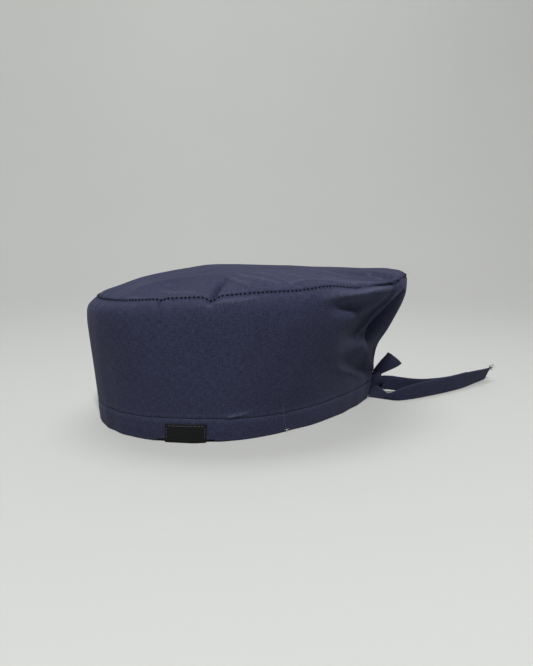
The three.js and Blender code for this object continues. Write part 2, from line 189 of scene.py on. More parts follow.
# cotton poplin: a tight plain weave of fine dyed yarn, matt, with a faint bloom of light at grazing angles
def cottonPoplin(name, colour):
    cloth = {
        "yarnWidth": 0.5,      # real yarn is about 0.25 mm; drawn this coarse so that it shows
        "yarnLength": 4.0,
        "yarnRange": (0.7, 1.3),
        "yarnContrast": 0.44,
        "patchSize": 38.0,     # slow changes of depth in the dye
        "patchRange": (0.3, 0.7),
        "patchContrast": 0.06,
        "rubbedAndShaded": "#25262d",   # greyer than the dye: added on rubbed edges and on crests as wear and painted highlight, taken away as painted shade in the seam groove and crease valleys
        "relief": 0.00012,
        "bump": 0.6,
        "roughness": 0.86,
        "ior": 1.5,
        "specular": 0.1,
        "sheen": 0.1,
        "sheenRoughness": 0.45,
        "sheenTint": "#9598b0",
    }
    material = newMaterial(name)
    flat = addNode(material, "UVMap", {"uv_map": "flat"}, {})
    thin, long = 1000 / cloth["yarnWidth"], 1000 / cloth["yarnLength"]
    yarns = []
    for scale in ((thin, long, 1), (long, thin, 1)):
        laid = addNode(material, "Mapping", {"Scale": scale}, {"Vector": (flat, "UV")})
        yarns.append(addNode(material, "TexNoise", {"Scale": 1.0, "Detail": 2.0, "Roughness": 0.6},
                             {"Vector": (laid, "Vector")}))
    weave = addNode(material, "Math", {"operation": "ADD"}, {0: (yarns[0], "Fac"), 1: (yarns[1], "Fac")})
    patches = addNode(material, "TexNoise", {"Scale": 1000 / cloth["patchSize"], "Detail": 3.0},
                      {"Vector": (flat, "UV")})
    shades = []
    for source, output, pattern in ((weave, "Value", "yarn"), (patches, "Fac", "patch")):
        low, high = cloth[pattern + "Range"]
        contrast = cloth[pattern + "Contrast"]
        limits = {"From Min": low, "From Max": high, "To Min": 1 - contrast, "To Max": 1 + contrast}
        shades.append(addNode(material, "MapRange", limits, {"Value": (source, output)}))
    clean = addNode(material, "Math", {"operation": "MULTIPLY"},
                    {0: (shades[0], "Result"), 1: (shades[1], "Result")})
    # the wear attribute holds rubbed wear, painted highlight on crests and painted shade in the seam groove
    # and crease valleys
    rubbedAndShaded = addNode(material, "Attribute", {"attribute_name": "wearAndShade"}, {})
    uneven = addNode(material, "Math", {"operation": "MULTIPLY"}, {0: (rubbedAndShaded, "Fac"), 1: (yarns[0], "Fac")})
    dye = addNode(material, "VectorMath", {"operation": "SCALE", 0: hexToLinear(colour)[:3]},
                  {"Scale": (clean, "Value")})
    # a greyer colour, added for rubbed wear and painted highlight, taken away for painted shade
    wearAndShadeTint = addNode(material, "VectorMath", {"operation": "SCALE", 0: hexToLinear(cloth["rubbedAndShaded"])[:3]},
                   {"Scale": (uneven, "Value")})
    wornAndShaded = addNode(material, "VectorMath", {"operation": "ADD"}, {0: (dye, "Vector"), 1: (wearAndShadeTint, "Vector")})
    bump = addNode(material, "Bump", {"Strength": cloth["bump"], "Distance": cloth["relief"]},
                   {"Height": (weave, "Value")})
    shader = addNode(material, "BsdfPrincipled",
                     {"Roughness": cloth["roughness"], "IOR": cloth["ior"],
                      "Specular IOR Level": cloth["specular"], "Sheen Weight": cloth["sheen"],
                      "Sheen Roughness": cloth["sheenRoughness"],
                      "Sheen Tint": hexToLinear(cloth["sheenTint"])},
                     {"Base Color": (wornAndShaded, "Vector"), "Normal": (bump, "Normal")})
    addNode(material, "OutputMaterial", {}, {"Surface": (shader, "BSDF")})
    return material


# woven polyester label: fine satin ribs across its width, black, a little glossier than the cotton
def wovenPolyester(name):
    ribbon = {
        "colour": "#08090a",
        "ribWidth": 0.9,       # real ribs are about 0.3 mm; drawn this coarse so that they show
        "ribWander": 0.6,
        "fuzzScale": 900.0,    # for a metre, so that a tuft of fuzz is about 1 mm
        "heightRange": (0.2, 1.6),
        "shadeRange": (0.65, 1.5),
        "relief": 0.0001,
        "bump": 0.5,
        "roughness": 0.75,
        "ior": 1.55,
        "specular": 0.15,
        "sheen": 0.03,
        "sheenRoughness": 0.4,
    }
    material = newMaterial(name)
    flat = addNode(material, "UVMap", {"uv_map": "flat"}, {})
    ribScale = 2 * math.pi / 20 * 1000 / ribbon["ribWidth"]
    ribs = addNode(material, "TexWave",
                   {"bands_direction": "Y", "Scale": ribScale, "Distortion": ribbon["ribWander"],
                    "Detail": 1.0},
                   {"Vector": (flat, "UV")})
    fuzz = addNode(material, "TexNoise", {"Scale": ribbon["fuzzScale"], "Detail": 2.0},
                   {"Vector": (flat, "UV")})
    height = addNode(material, "Math", {"operation": "ADD"}, {0: (ribs, "Fac"), 1: (fuzz, "Fac")})
    (low, high), (dark, light) = ribbon["heightRange"], ribbon["shadeRange"]
    shade = addNode(material, "MapRange",
                    {"From Min": low, "From Max": high, "To Min": dark, "To Max": light},
                    {"Value": (height, "Value")})
    dye = addNode(material, "VectorMath", {"operation": "SCALE", 0: hexToLinear(ribbon["colour"])[:3]},
                  {"Scale": (shade, "Result")})
    bump = addNode(material, "Bump", {"Strength": ribbon["bump"], "Distance": ribbon["relief"]},
                   {"Height": (height, "Value")})
    shader = addNode(material, "BsdfPrincipled",
                     {"Roughness": ribbon["roughness"], "IOR": ribbon["ior"],
                      "Specular IOR Level": ribbon["specular"], "Sheen Weight": ribbon["sheen"],
                      "Sheen Roughness": ribbon["sheenRoughness"]},
                     {"Base Color": (dye, "Vector"), "Normal": (bump, "Normal")})
    addNode(material, "OutputMaterial", {}, {"Surface": (shader, "BSDF")})
    return material


# spun sewing thread: its twist shows as fine uneven spots, lighter and darker
def sewingThread(name, colour):
    spun = {
        "twist": 0.5,          # millimetres for one spot
        "contrast": 0.4,
        "roughness": 0.7,
        "ior": 1.55,
        "specular": 0.15,
    }
    material = newMaterial(name)
    place = addNode(material, "TexCoord", {}, {})
    twist = addNode(material, "TexNoise", {"Scale": 1000 / spun["twist"], "Detail": 1.0},
                    {"Vector": (place, "Object")})
    shade = addNode(material, "MapRange",
                    {"To Min": 1 - spun["contrast"], "To Max": 1 + spun["contrast"]},
                    {"Value": (twist, "Fac")})
    dye = addNode(material, "VectorMath", {"operation": "SCALE", 0: hexToLinear(colour)[:3]},
                  {"Scale": (shade, "Result")})
    shader = addNode(material, "BsdfPrincipled",
                     {"Roughness": spun["roughness"], "IOR": spun["ior"],
                      "Specular IOR Level": spun["specular"]},
                     {"Base Color": (dye, "Vector")})
    addNode(material, "OutputMaterial", {}, {"Surface": (shader, "BSDF")})
    return material


poplin = cottonPoplin("navy_cotton_poplin", "#27293c")
# the ties are of the cap's own poplin; their darker colour is painted shade
shadedTapePoplin = cottonPoplin("navy_cotton_tape", "#1f2132")
labelWeave = wovenPolyester("black_woven_polyester")
darkThread = sewingThread("dark_polyester_thread", "#05060d")
greyThread = sewingThread("grey_polyester_thread", "#4c4e55")
blueThread = sewingThread("faded_polyester_thread", "#6f7288")
paleThread = sewingThread("pale_cotton_thread", "#a9abb8")
print("materials ready")

# the cap's form, in millimetres
# an angle goes round from the centre front: 90 is the wearer's left, 180 the nape
cap = {
    "seamFront": 84.9,       # heights of the crown seam
    "seamBack": 97.8,
    "crownTop": 104.4,
    "peakY": -18.0,
    "frontPlump": 1.2,
    "backPlump": 4.2,
    "plumpPower": 20,
    "frontPower": 2.2,
    "backPower": 1.3,
    "puckerFadeUp": 10,
    "puckerFadeIn": 12,
    "rippleFadeUp": 12,
    "crownRise": 0.7,        # the crown's edge stands this far above the seam before it rolls in
    "stitch": 2.6,           # stitch length of the seams
    "cloth": 0.9,
    "columns": 1000,         # points round the cap
    "crowding": 20.0,        # degrees that points move towards the nape, where the folds are
    "innerSkip": 2,          # the unseen inner face has every second point
    "tangentStep": 0.5,      # degrees either way for the run of the cloth at a place
}
# how the sewing draws the cloth in: depths and widths of the dips, and how the tug grows on the crown
seamPull = {"dip": 0.7, "dipWidth": 1.3, "stitchDip": 0.16, "stitchAt": 1.0, "stitchWidth": 1.5,
            "tugWidth": 7, "crownTug": 1.2, "hemDip": 0.16, "hemWidth": 1.0}
# where the crown's own forms start, in millimetres from its seam; its ripples are full a sixth of the way in
crownStart = {"line": 5, "dent": 3, "creases": 1.3, "rise": 1.5, "tugAt": 3, "tugWidth": 4, "ripples": 3}
# where the cloth is rubbed paler, and where painted shade darkens the seam groove and crease valleys:
# distances from seams and edges, widths and shares
rubAndShade = {"seamAt": 2.2, "seamWidth": 1.6, "groove": 0.9, "hem": 0.5, "hemAt": 1.8, "casingAt": 1.6,
       "hemWidth": 1.2, "edgeWidth": 1.6, "crest": 1.7, "crestLimit": 1.3, "valleyShadeLimit": -0.6,
       "crestNarrowing": 0.6}
bandColumns = ("up", "front", "back", "side", "widest", "pinch")
bandSections = np.array([
    (0.00, 111.6, 92.5, 71.7, -31.3, 0.48),
    (0.17, 112.4, 95.5, 73.8, -29.3, 0.46),
    (0.36, 113.6, 95.6, 77.0, -24.0, 0.38),
    (0.46, 114.3, 96.8, 78.9, -21.0, 0.31),
    (0.56, 115.1, 102.0, 80.7, -17.8, 0.24),
    (0.70, 116.2, 107.8, 83.3, -13.5, 0.14),
    (0.84, 117.0, 113.5, 85.6, -9.5, 0.05),
    (0.93, 115.8, 115.0, 86.0, -8.0, 0.00),
    (1.00, 110.0, 115.6, 83.8, -8.0, 0.00),
])
bandFolds = [  # angle low, angle high, from, to, depth, width
    (141, 138, 0.46, 1.00, -4.5, 6.0),
    (166, 150, 0.26, 1.00, 1.8, 6.0),
    (172, 120, 0.17, 0.66, 1.2, 7.0),
    (160, 126, 0.17, 0.50, -1.6, 6.0),
    (106, 110, -0.20, 0.34, -1.3, 7.0),
    (172, 168, 0.17, 0.80, -2.4, 4.0),
    (181, 183, 0.17, 0.86, 2.0, 5.0),
    (190, 196, 0.17, 0.80, -2.6, 4.5),
    (197, 212, 0.20, 1.00, 2.4, 6.0),
    (214, 224, 0.40, 1.00, -5.0, 6.5),
    (200, 238, 0.17, 0.72, 1.4, 7.0),
    (238, 226, 0.60, 1.00, 1.8, 5.0),
]
fineFolds = [  # sharper creases that the cloth has on top of the folds
    (150, 118, 0.20, 0.44, 0.5, 3.0),
    (166, 138, 0.19, 0.40, -0.6, 3.2),
    (172, 150, 0.18, 0.36, 0.6, 3.0),
    (158, 148, 0.18, 0.62, -0.5, 2.2),
    (186, 196, 0.18, 0.44, 0.6, 3.0),
    (196, 222, 0.18, 0.42, -0.6, 3.2),
    (206, 240, 0.20, 0.46, 0.5, 3.0),
]
seamPuckers = [  # angle, drop, width; a drop below nothing lifts the seam
    (50.6, 0.9, 1.6),
    (54.0, -1.2, 14.0),
    (68.6, 2.6, 2.0),
    (82.0, -1.5, 16.0),
    (105.0, -1.4, 6.0),
    (117.5, 1.7, 6.0),
    (133.0, 1.6, 9.0),
    (232.0, 1.6, 8.0),
    (301.0, 1.2, 4.0),
]
crownFolds = [  # angle at the seam, angle at its end, reach, depth, width
    (68, 88, 0.50, -0.8, 9.0),
    (84, 100, 0.55, 1.3, 7.0),
    (50, 52, 0.60, -1.1, 9.0),
    (128, 136, 0.34, -3.2, 9.0),
    (146, 142, 0.40, 1.4, 7.0),
    (230, 224, 0.36, -2.6, 10.0),
    (296, 284, 0.50, -1.5, 10.0),
    (16, 24, 0.50, -0.9, 8.0),
    (338, 330, 0.50, -0.9, 9.0),
]
# how far the crown's top stands above or below its even dome, from front to back
crownLine = [(-104, -0.5), (-95, -0.9), (-80, -0.2), (-62, -0.4), (-45, 0.0), (-33, 0.95), (-10, 0.85),
             (10, 0.15), (30, -0.35), (50, -1.6), (75, -1.8), (88, -2.2), (96, -1.95), (106, -0.9)]
# gathers in the crown's rolled edge: angle, depth, width in degrees, reach inward
crownPuckers = [
    (139.8, 6.0, 1.7, 0.13),
    (143.4, 2.4, 0.9, 0.10),
    (136.0, 2.2, 0.9, 0.10),
    (132.6, 1.4, 0.9, 0.09),
    (221.0, 3.5, 1.9, 0.13),
    (225.0, 1.6, 0.9, 0.10),
]
# a flattened part of the crown above the seam, with a crisp rim
crownDent = {"angle": 56, "spread": 26, "reach": 0.43, "depth": -3.0, "rim": 0.7, "rimWidth": 0.07}
# sharp creases as lines over the cloth: height, width, then points; on the band an angle and a level
bandCreases = [
    (2.9, 1.3, [(127.5, 0.61), (130.7, 0.656), (134.2, 0.701), (138.8, 0.764), (140.4, 0.822), (142.1, 0.88),
                (144, 0.908), (147, 0.935)]),
    (-6.2, 3.2, [(137, 0.55), (139.4, 0.604), (143.3, 0.679), (146.1, 0.75), (146.2, 0.802), (146.8, 0.853),
                 (148, 0.91)]),
    (1.6, 3.0, [(157, 0.50), (154.5, 0.557), (152.5, 0.65), (152, 0.73), (150.5, 0.818), (150, 0.905),
                (151, 0.96)]),
    (1.8, 3.5, [(102, 0.935), (107.8, 0.952), (113, 0.957), (119, 0.965), (128, 0.97), (138, 0.955)]),
    (-2.8, 1.5, [(118, 0.985), (126, 0.986), (133, 0.988), (138, 0.987), (145, 0.978)]),
    (0.8, 1.4, [(63, 0.95), (68.5, 0.963), (73.2, 0.965), (78, 0.965), (84, 0.976)]),
    (-0.9, 1.4, [(67.2, 0.995), (69, 0.97), (72, 0.945)]),
    (-0.7, 1.3, [(50.2, 0.995), (50.8, 0.97), (51.6, 0.94)]),
    (0.9, 1.3, [(84, 0.172), (88, 0.183), (90.2, 0.188), (94, 0.205)]),
    (0.7, 4.0, [(115, 0.70), (118.5, 0.58), (124, 0.42), (130, 0.30)]),
    (0.6, 3.0, [(150, 0.50), (152, 0.40), (158, 0.25)]),
    (-0.6, 3.0, [(141, 0.46), (146, 0.34), (154, 0.22)]),
    (1.5, 2.2, [(243, 0.60), (238, 0.70), (233, 0.80), (228, 0.89), (221, 0.94)]),
    (-2.6, 3.5, [(233, 0.56), (228, 0.68), (225, 0.80), (220, 0.92)]),
    (0.7, 2.8, [(208, 0.50), (211, 0.66), (213, 0.82), (212, 0.95)]),
    (0.5, 4.0, [(236, 0.52), (228, 0.40), (216, 0.26)]),
    (-0.6, 1.5, [(301, 0.995), (299, 0.96), (296, 0.93)]),
]
# soft hollows under the rear shoulders: angle, level, depth, width in degrees, width in level
bandHollows = [
    (113.0, 0.875, -3.5, 6.0, 0.050),
    (122.0, 0.865, -5.0, 8.0, 0.055),
    (131.0, 0.775, -8.0, 10.0, 0.090),
    (129.0, 0.650, -5.5, 9.0, 0.085),
    (245.0, 0.860, -3.0, 9.0, 0.060),
    (236.0, 0.750, -3.0, 9.0, 0.090),
]
crownCreases = [  # on the crown a place x, y in plan
    (-6.0, 1.3, [(80, -47), (77.2, -45.6), (67.9, -41.1), (59.4, -36.1), (54, -31)]),
    (1.6, 1.2, [(54, -30.5), (57.6, -29.3), (68.8, -26.3), (80, -22.6)]),
    (1.3, 1.3, [(46, -24), (51.2, -22.2), (62, -18.5), (72.5, -13.9), (78, -3)]),
    (0.9, 1.5, [(43, -16), (60, -8), (79, 3)]),
    (1.2, 1.4, [(79, 0), (73.2, 9.5), (72.3, 22.9), (73.5, 38.9), (71, 54)]),
    (1.1, 1.7, [(50.8, 17.5), (64.5, 27.5), (69.7, 40.6), (69.6, 54.4), (64.7, 69)]),
    (0.8, 2.2, [(28, 25), (43.5, 41.5), (46.3, 56.4), (50, 66)]),
    (0.6, 2.4, [(38, -2), (56, 10), (74, 26)]),
    (0.6, 2.6, [(28.5, -97), (27.4, -94.9), (22.1, -85.3), (14.7, -75.2)]),
    (0.45, 2.6, [(40, -92), (35, -84), (30, -76)]),
    (0.7, 1.8, [(48, -72), (55, -61), (65, -51)]),
    (-3.4, 1.7, [(57, 88), (54, 83.5), (51.8, 79.5), (47.5, 76), (42, 74)]),
    (-2.2, 1.2, [(53, 81), (48, 82), (41, 83)]),
    (-1.8, 1.2, [(51, 84), (46, 86.5), (40, 88)]),
    (1.2, 1.5, [(57, 78), (51, 73), (42, 69)]),
    (-1.1, 2.2, [(-73, -56), (-64, -48), (-52, -42)]),
    (0.6, 2.6, [(-50, 18), (-63, 30), (-68, 46), (-63, 68)]),
    (-1.8, 3.0, [(-66, 62), (-58, 68), (-46, 74)]),
    (0.4, 2.8, [(-42, -18), (-58, -8), (-76, 6)]),
]
bandScale = np.array([1.5, 92.0])  # millimetres for a degree and for the whole height, to measure creases in


# slight unevenness of the cloth: waves round the cap, lean, phase and size of each ripple
def drawRipples(waves, lean, sizes):
    count = 16
    return list(zip(draws.integers(*waves, count), draws.uniform(-lean, lean, count),
                    draws.uniform(0, 6.28, count), draws.uniform(*sizes, count)))


bandRipples = drawRipples((7, 38), 9, (0.03, 0.1))
crownRipples = drawRipples((3, 16), 12, (0.04, 0.13))
seamTugs = list(zip(draws.integers(45, 120, 8), draws.uniform(0, 6.28, 8), draws.uniform(0.03, 0.09, 8)))


def sectionValue(up, column):
    ups = bandSections[:, 0]
    values = bandSections[:, bandColumns.index(column)]
    row = np.arange(len(ups))
    below, above = np.maximum(row - 1, 0), np.minimum(row + 1, len(ups) - 1)
    slopes = (values[above] - values[below]) / (ups[above] - ups[below])
    low = np.clip(np.searchsorted(ups, up, side="right") - 1, 0, len(ups) - 2)
    span = ups[low + 1] - ups[low]
    s = (up - ups[low]) / span
    ends = values[low] * (2 * s**3 - 3 * s**2 + 1) + values[low + 1] * (3 * s**2 - 2 * s**3)
    return ends + span * (slopes[low] * (s**3 - 2 * s**2 + s) + slopes[low + 1] * (s**3 - s**2))


def frontToBack(front, back, angle):
    return (front + back) / 2 + (front - back) / 2 * np.cos(np.radians(angle))


def seamHeight(angle):
    return frontToBack(cap["seamFront"], cap["seamBack"], angle)


def seamDrop(angle):
    return sum(drop * bell((angle - centre) / width) for centre, drop, width in seamPuckers)


def bandOutline(angle, up):
    turn = np.cos(np.radians(angle))
    widest = sectionValue(up, "widest")
    reach = np.where(turn < 0, sectionValue(up, "back") - widest, sectionValue(up, "front") + widest)
    narrowing = np.where(turn < 0, 1 - sectionValue(up, "pinch") * turn**2, 1)
    x = sectionValue(up, "side") * np.sin(np.radians(angle)) * narrowing
    z = up * seamHeight(angle) - seamDrop(angle) * np.maximum(up, 0) ** cap["puckerFadeUp"]
    return np.stack(np.broadcast_arrays(x, widest - reach * turn, z), -1)


def leaningFolds(rows, angle, level):
    total = np.zeros(np.broadcast(angle, level).shape)
    for low, high, start, end, depth, width in rows:
        along = np.clip((level - start) / (end - start), 0, 1)
        total += depth * np.sin(np.pi * along) * bell((angle - low - (high - low) * along) / width)
    return total


# relief of creases that run along lines; each is full in the middle of its line and fades to its ends
def creaseRelief(rows, across, upward, scale):
    rounding, fadePower = 0.3, 0.6
    total = np.zeros(across.shape)
    for height, width, line in rows:
        line = np.array(line, float) * scale
        lengths = np.linalg.norm(np.diff(line, axis=0), axis=1)
        ways = np.concatenate([[0], np.cumsum(lengths)]) / lengths.sum()
        nearest = np.full(across.shape, 1e9)
        along = np.zeros(across.shape)
        for k, length in enumerate(lengths):
            run = (line[k + 1] - line[k]) / length
            t = np.clip((across - line[k, 0]) * run[0] + (upward - line[k, 1]) * run[1], 0, length)
            away = np.hypot(across - line[k, 0] - run[0] * t, upward - line[k, 1] - run[1] * t)
            along = np.where(away < nearest, ways[k] + (ways[k + 1] - ways[k]) * t / length, along)
            nearest = np.minimum(away, nearest)
        sharp = np.exp(rounding - np.sqrt((nearest / width) ** 2 + rounding**2))
        total += height * sharp * np.clip(np.sin(np.pi * along), 0, 1) ** fadePower
    return total


# crests are paler along a narrower line than their fold, as rubbed wear and painted highlight, and the
# valleys are darker as painted shade
def crestWearAndShade(rows, across, upward, scale):
    lines = []
    for height, width, line in rows:
        share = rubAndShade["crest"] * np.clip(height, rubAndShade["valleyShadeLimit"], rubAndShade["crestLimit"])
        lines.append((share, rubAndShade["crestNarrowing"] * width, line))
    return creaseRelief(lines, across, upward, scale)


# the turnings beside the crown seam are rubbed paler, and the seam groove itself is darkened as painted shade
def seamWearAndShade(toSeam, share):
    return share * bell((toSeam - rubAndShade["seamAt"]) / rubAndShade["seamWidth"]) - bell(toSeam / rubAndShade["groove"])


def seamTug(angle):
    turn = np.radians(angle)
    return sum(size * np.sin(n * turn + phase) for n, phase, size in seamTugs)


def stitchBeat(angle):
    return np.cos(2 * np.pi * seamWay(angle) / cap["stitch"])


# folds, ripples, the tug of the stitches and the dips along both seams
def bandRelief(angle, up):
    turn = np.radians(angle)
    relief = leaningFolds(bandFolds, angle, up) + leaningFolds(fineFolds, angle, up)
    creases = creaseRelief(bandCreases, angle * bandScale[0], up * bandScale[1], bandScale)
    relief = relief + creases * (up < 0.9999)  # none on the seam itself, where the crown starts
    for centre, level, depth, wide, high in bandHollows:
        relief = relief + depth * bell((angle - centre) / wide) * bell((up - level) / high)
    fade = np.clip(1 - up ** cap["rippleFadeUp"], 0, 1)
    for n, rise, phase, size in bandRipples:
        relief = relief + fade * size * np.sin(n * turn + rise * up + phase)
    toSeam = (1 - up) * seamHeight(angle)
    relief = relief - seamPull["dip"] * bell(toSeam / seamPull["dipWidth"])
    nearStitches = bell((toSeam - seamPull["stitchAt"]) / seamPull["stitchWidth"])
    relief = relief - seamPull["stitchDip"] * stitchBeat(angle) * nearStitches
    return relief + seamTug(angle) * bell(toSeam / seamPull["tugWidth"])


def bandOutward(angle, up):
    step = cap["tangentStep"]
    return rightOf(bandOutline(angle + step, up) - bandOutline(angle - step, up))


def bandSurface(angle, up):
    return bandOutline(angle, up) + bandOutward(angle, up) * bandRelief(angle, up)[..., None]


evenAngles = np.linspace(0, 360, 2881)  # eight for each degree
seamLengths = runAlong(bandOutline(evenAngles, np.ones_like(evenAngles)))


def seamWay(angle):
    return np.interp(np.mod(angle, 360), evenAngles, seamLengths)


def crownSurface(angle, inward):
    seam = bandSurface(angle, np.ones_like(angle))
    out = 1 - inward
    power = frontToBack(cap["frontPower"], cap["backPower"], angle)
    plump = frontToBack(cap["frontPlump"], cap["backPlump"], angle)
    top = cap["crownTop"] - plump
    edge = seamHeight(angle) + cap["crownRise"]
    z = top + (edge - top) * out**power + plump * (1 - out ** cap["plumpPower"])
    z = z - seamDrop(angle) * out ** cap["puckerFadeIn"]
    for start, end, reach, depth, width in crownFolds:
        along = np.clip(inward / reach, 0, 1)
        z = z + depth * np.sin(np.pi * along) * bell((angle - start - (end - start) * along) / width)
    for centre, depth, width, reach in crownPuckers:
        rolled = (1 - out ** cap["plumpPower"]) * np.exp(-inward / reach)
        z = z - depth * rolled * bell((angle - centre) / width)
    turn = np.radians(angle)
    grow = np.sin(np.pi * np.clip(inward * crownStart["ripples"], 0, 0.5))
    for n, rise, phase, size in crownRipples:
        z = z + size * np.sin(n * turn + rise * inward + phase) * grow * out
    x = seam[..., 0] * out
    y = cap["peakY"] + (seam[..., 1] - cap["peakY"]) * out
    toSeam = inward * np.hypot(seam[..., 0], seam[..., 1] - cap["peakY"])
    z = z + (1 - bell(toSeam / crownStart["line"])) * np.interp(y, *np.transpose(crownLine))
    away = np.hypot((angle - crownDent["angle"]) / crownDent["spread"], inward / crownDent["reach"])
    dent = crownDent["depth"] * np.clip(1 - away**2, 0, 1)
    dent = dent + crownDent["rim"] * np.exp(-np.abs(away - 1) / crownDent["rimWidth"])
    z = z + (1 - bell(toSeam / crownStart["dent"])) * dent
    z = z + (1 - bell(toSeam / crownStart["creases"])) * creaseRelief(crownCreases, x, y, np.ones(2))
    z = z - cap["crownRise"] * bell(toSeam / crownStart["rise"])
    besideSeam = bell((toSeam - crownStart["tugAt"]) / crownStart["tugWidth"]) * (inward > 0)
    z = z + seamTug(angle) * seamPull["crownTug"] * besideSeam
    return np.stack(np.broadcast_arrays(x, y, z), -1)


def crowdedAngles(count):
    even = np.arange(count) * 360 / count
    return even + cap["crowding"] * np.sin(np.radians(even))


hem = {
    "height": 15.0,       # of the stitched line at its top
    "waves": [(68, 1.0, 20), (106, -1.2, 16)],   # of that line: angle, rise, width
    "wall": 2.4,
    "opening": 4.5,       # degrees on either side of the nape
    "bulge": 0.22,        # the casing stands proud of the band between its stitching and its edge
    "stitchDip": 0.25,
    "dipWidth": 1.0,
    "innerDrop": 1.0,     # the inner edge ends this far below the stitching
    "innerLean": 0.9,     # and leans out to it
    "cloth": 0.7,
    "flat": 33.0,
    "columns": 900,
    "rows": (16, 9, 10),  # down the outside, round the edge, up the inside
}


def hemTop(angle):
    return hem["height"] + sum(rise * bell((angle - centre) / width) for centre, rise, width in hem["waves"])


# side band, with closer rows near both seams
bandMesh = {"rows": 75, "rowCrowding": 0.6, "flatHeight": 78, "seamRub": 0.35}


def buildBand():
    angles = crowdedAngles(cap["columns"])
    share = np.linspace(0, 1, bandMesh["rows"])
    share = share - bandMesh["rowCrowding"] * np.sin(2 * np.pi * share) / (2 * np.pi)
    foot = hemTop(angles) / seamHeight(angles)
    up = foot + (1 - foot) * share[:, None]
    angleGrid = np.broadcast_to(angles, up.shape)
    outer = bandSurface(angleGrid, up)
    toHem = up * seamHeight(angles) - hemTop(angles)
    dip = seamPull["hemDip"] * bell(toHem / seamPull["hemWidth"])
    outer = outer - gridNormals(outer, True) * dip[..., None]
    way = np.append(seamWay(angles), seamLengths[-1])
    flat = pairs(way, (share * bandMesh["flatHeight"])[:, None])
    # beside the seam: rubbed paler turnings, and painted shade in the seam groove
    wearAndShade = seamWearAndShade((1 - up) * seamHeight(angles), bandMesh["seamRub"])
    wearAndShade = wearAndShade + rubAndShade["hem"] * bell((toHem - rubAndShade["hemAt"]) / rubAndShade["hemWidth"])
    # creases: crests paler as rubbed wear and painted highlight, valleys darker as painted shade
    wearAndShade = wearAndShade + crestWearAndShade(bandCreases, angleGrid * bandScale[0], up * bandScale[1], bandScale)
    piece = clothMesh("band_cloth", outer, cap["cloth"], True, flat, cap["innerSkip"], poplin,
                      wearAndShade)
    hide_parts("side_band")
    return piece


# crown panel, with closer rows near its seam, closed at its highest point by a small fan
crownMesh = {"rows": 70, "rowPower": 1.5, "radius": 85, "seamRub": 0.25}


def buildCrown():
    angles = crowdedAngles(cap["columns"])
    inward = np.linspace(0, 1, crownMesh["rows"])[:-1] ** crownMesh["rowPower"]
    level = np.broadcast_to(inward[:, None], (len(inward), len(angles)))
    outer = crownSurface(np.broadcast_to(angles, level.shape), level)
    skip = cap["innerSkip"]
    inner = (outer - gridNormals(outer, True) * cap["cloth"])[::skip, ::skip]
    (rows, columns), (innerRows, innerColumns) = level.shape, inner.shape[:2]
    start = rows * columns
    peak = np.array([[0, cap["peakY"], outer[-1, :, 2].mean()]])
    points = np.concatenate([outer.reshape(-1, 3), inner.reshape(-1, 3), peak, peak - [0, 0, cap["cloth"]]])
    quads, _ = gridQuads(rows, columns, True)
    innerQuads, _ = gridQuads(innerRows, innerColumns, True)
    faces = quads.tolist() + (innerQuads[:, ::-1] + start).tolist()
    for k in range(innerColumns):
        rim = [start + k, start + (k + 1) % innerColumns]
        rim += [(k * skip + step) % columns for step in range(skip, -1, -1)]
        faces.append(rim)
    top, under = len(points) - 2, len(points) - 1
    last, innerLast = (rows - 1) * columns, start + (innerRows - 1) * innerColumns
    faces += [(last + k, last + (k + 1) % columns, top) for k in range(columns)]
    faces += [(innerLast + (k + 1) % innerColumns, innerLast + k, under) for k in range(innerColumns)]
    corners = np.concatenate([np.ravel(face) for face in faces])
    # beside the seam: rubbed paler turnings, and painted shade in the seam groove
    wearAndShade = seamWearAndShade(level * crownMesh["radius"], crownMesh["seamRub"])
    # creases: crests paler as rubbed wear and painted highlight, valleys darker as painted shade
    wearAndShade = wearAndShade + crestWearAndShade(crownCreases, outer[..., 0], outer[..., 1], np.ones(2))
    piece = makeMesh("crown_cloth", points, faces, points[corners][:, :2], poplin, wearAndShade)
    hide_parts("crown_panel")
    return piece


label = {
    "angle": 68.2,
    "width": 25.0,
    "height": 12.2,
    "foot": 0.1,
    "cloth": 0.6,
    "stand": 0.3,        # space between the hem and the label's back
    "turn": 0.9,         # radius of the fold round the hem's edge
    "bulgeTop": 0.15,    # the part of the hem's bulge that lies behind the label
    "bulgeSpan": 0.8,
    "columns": 60,
    "rows": (26, 7, 14),  # down the front, round each corner of the fold, up the back
}
# the hem's edge is lifted where the label goes under it
hemLift = {"height": 1.4, "flat": label["width"] / 2 + 3, "ramp": 6.0}


def alongHem(angle):
    ends = bandOutline(np.array([label["angle"] - 1, label["angle"] + 1]), np.zeros(2))
    return (angle - label["angle"]) * np.linalg.norm(ends[1] - ends[0]) / 2


def hemFoot(angle):
    past = np.clip((np.abs(alongHem(angle)) - hemLift["flat"]) / hemLift["ramp"], 0, 1)
    return hemLift["height"] * (1 - past**2 * (3 - 2 * past))


# point on the hem at a height, moved out of its outer face by an offset
def hemPoint(angle, height, offset):
    up = height / seamHeight(angle)
    outward = bandOutward(angle, np.full_like(angle, hem["height"] / 2) / seamHeight(angle))
    point = bandOutline(angle, up) + outward * (leaningFolds(bandFolds, angle, up) + offset)[..., None]
    for n, rise, phase, size in bandRipples:
        point = point + outward * (size * np.sin(n * np.radians(angle) + rise * up + phase))[..., None]
    point[..., 2] = height
    return point


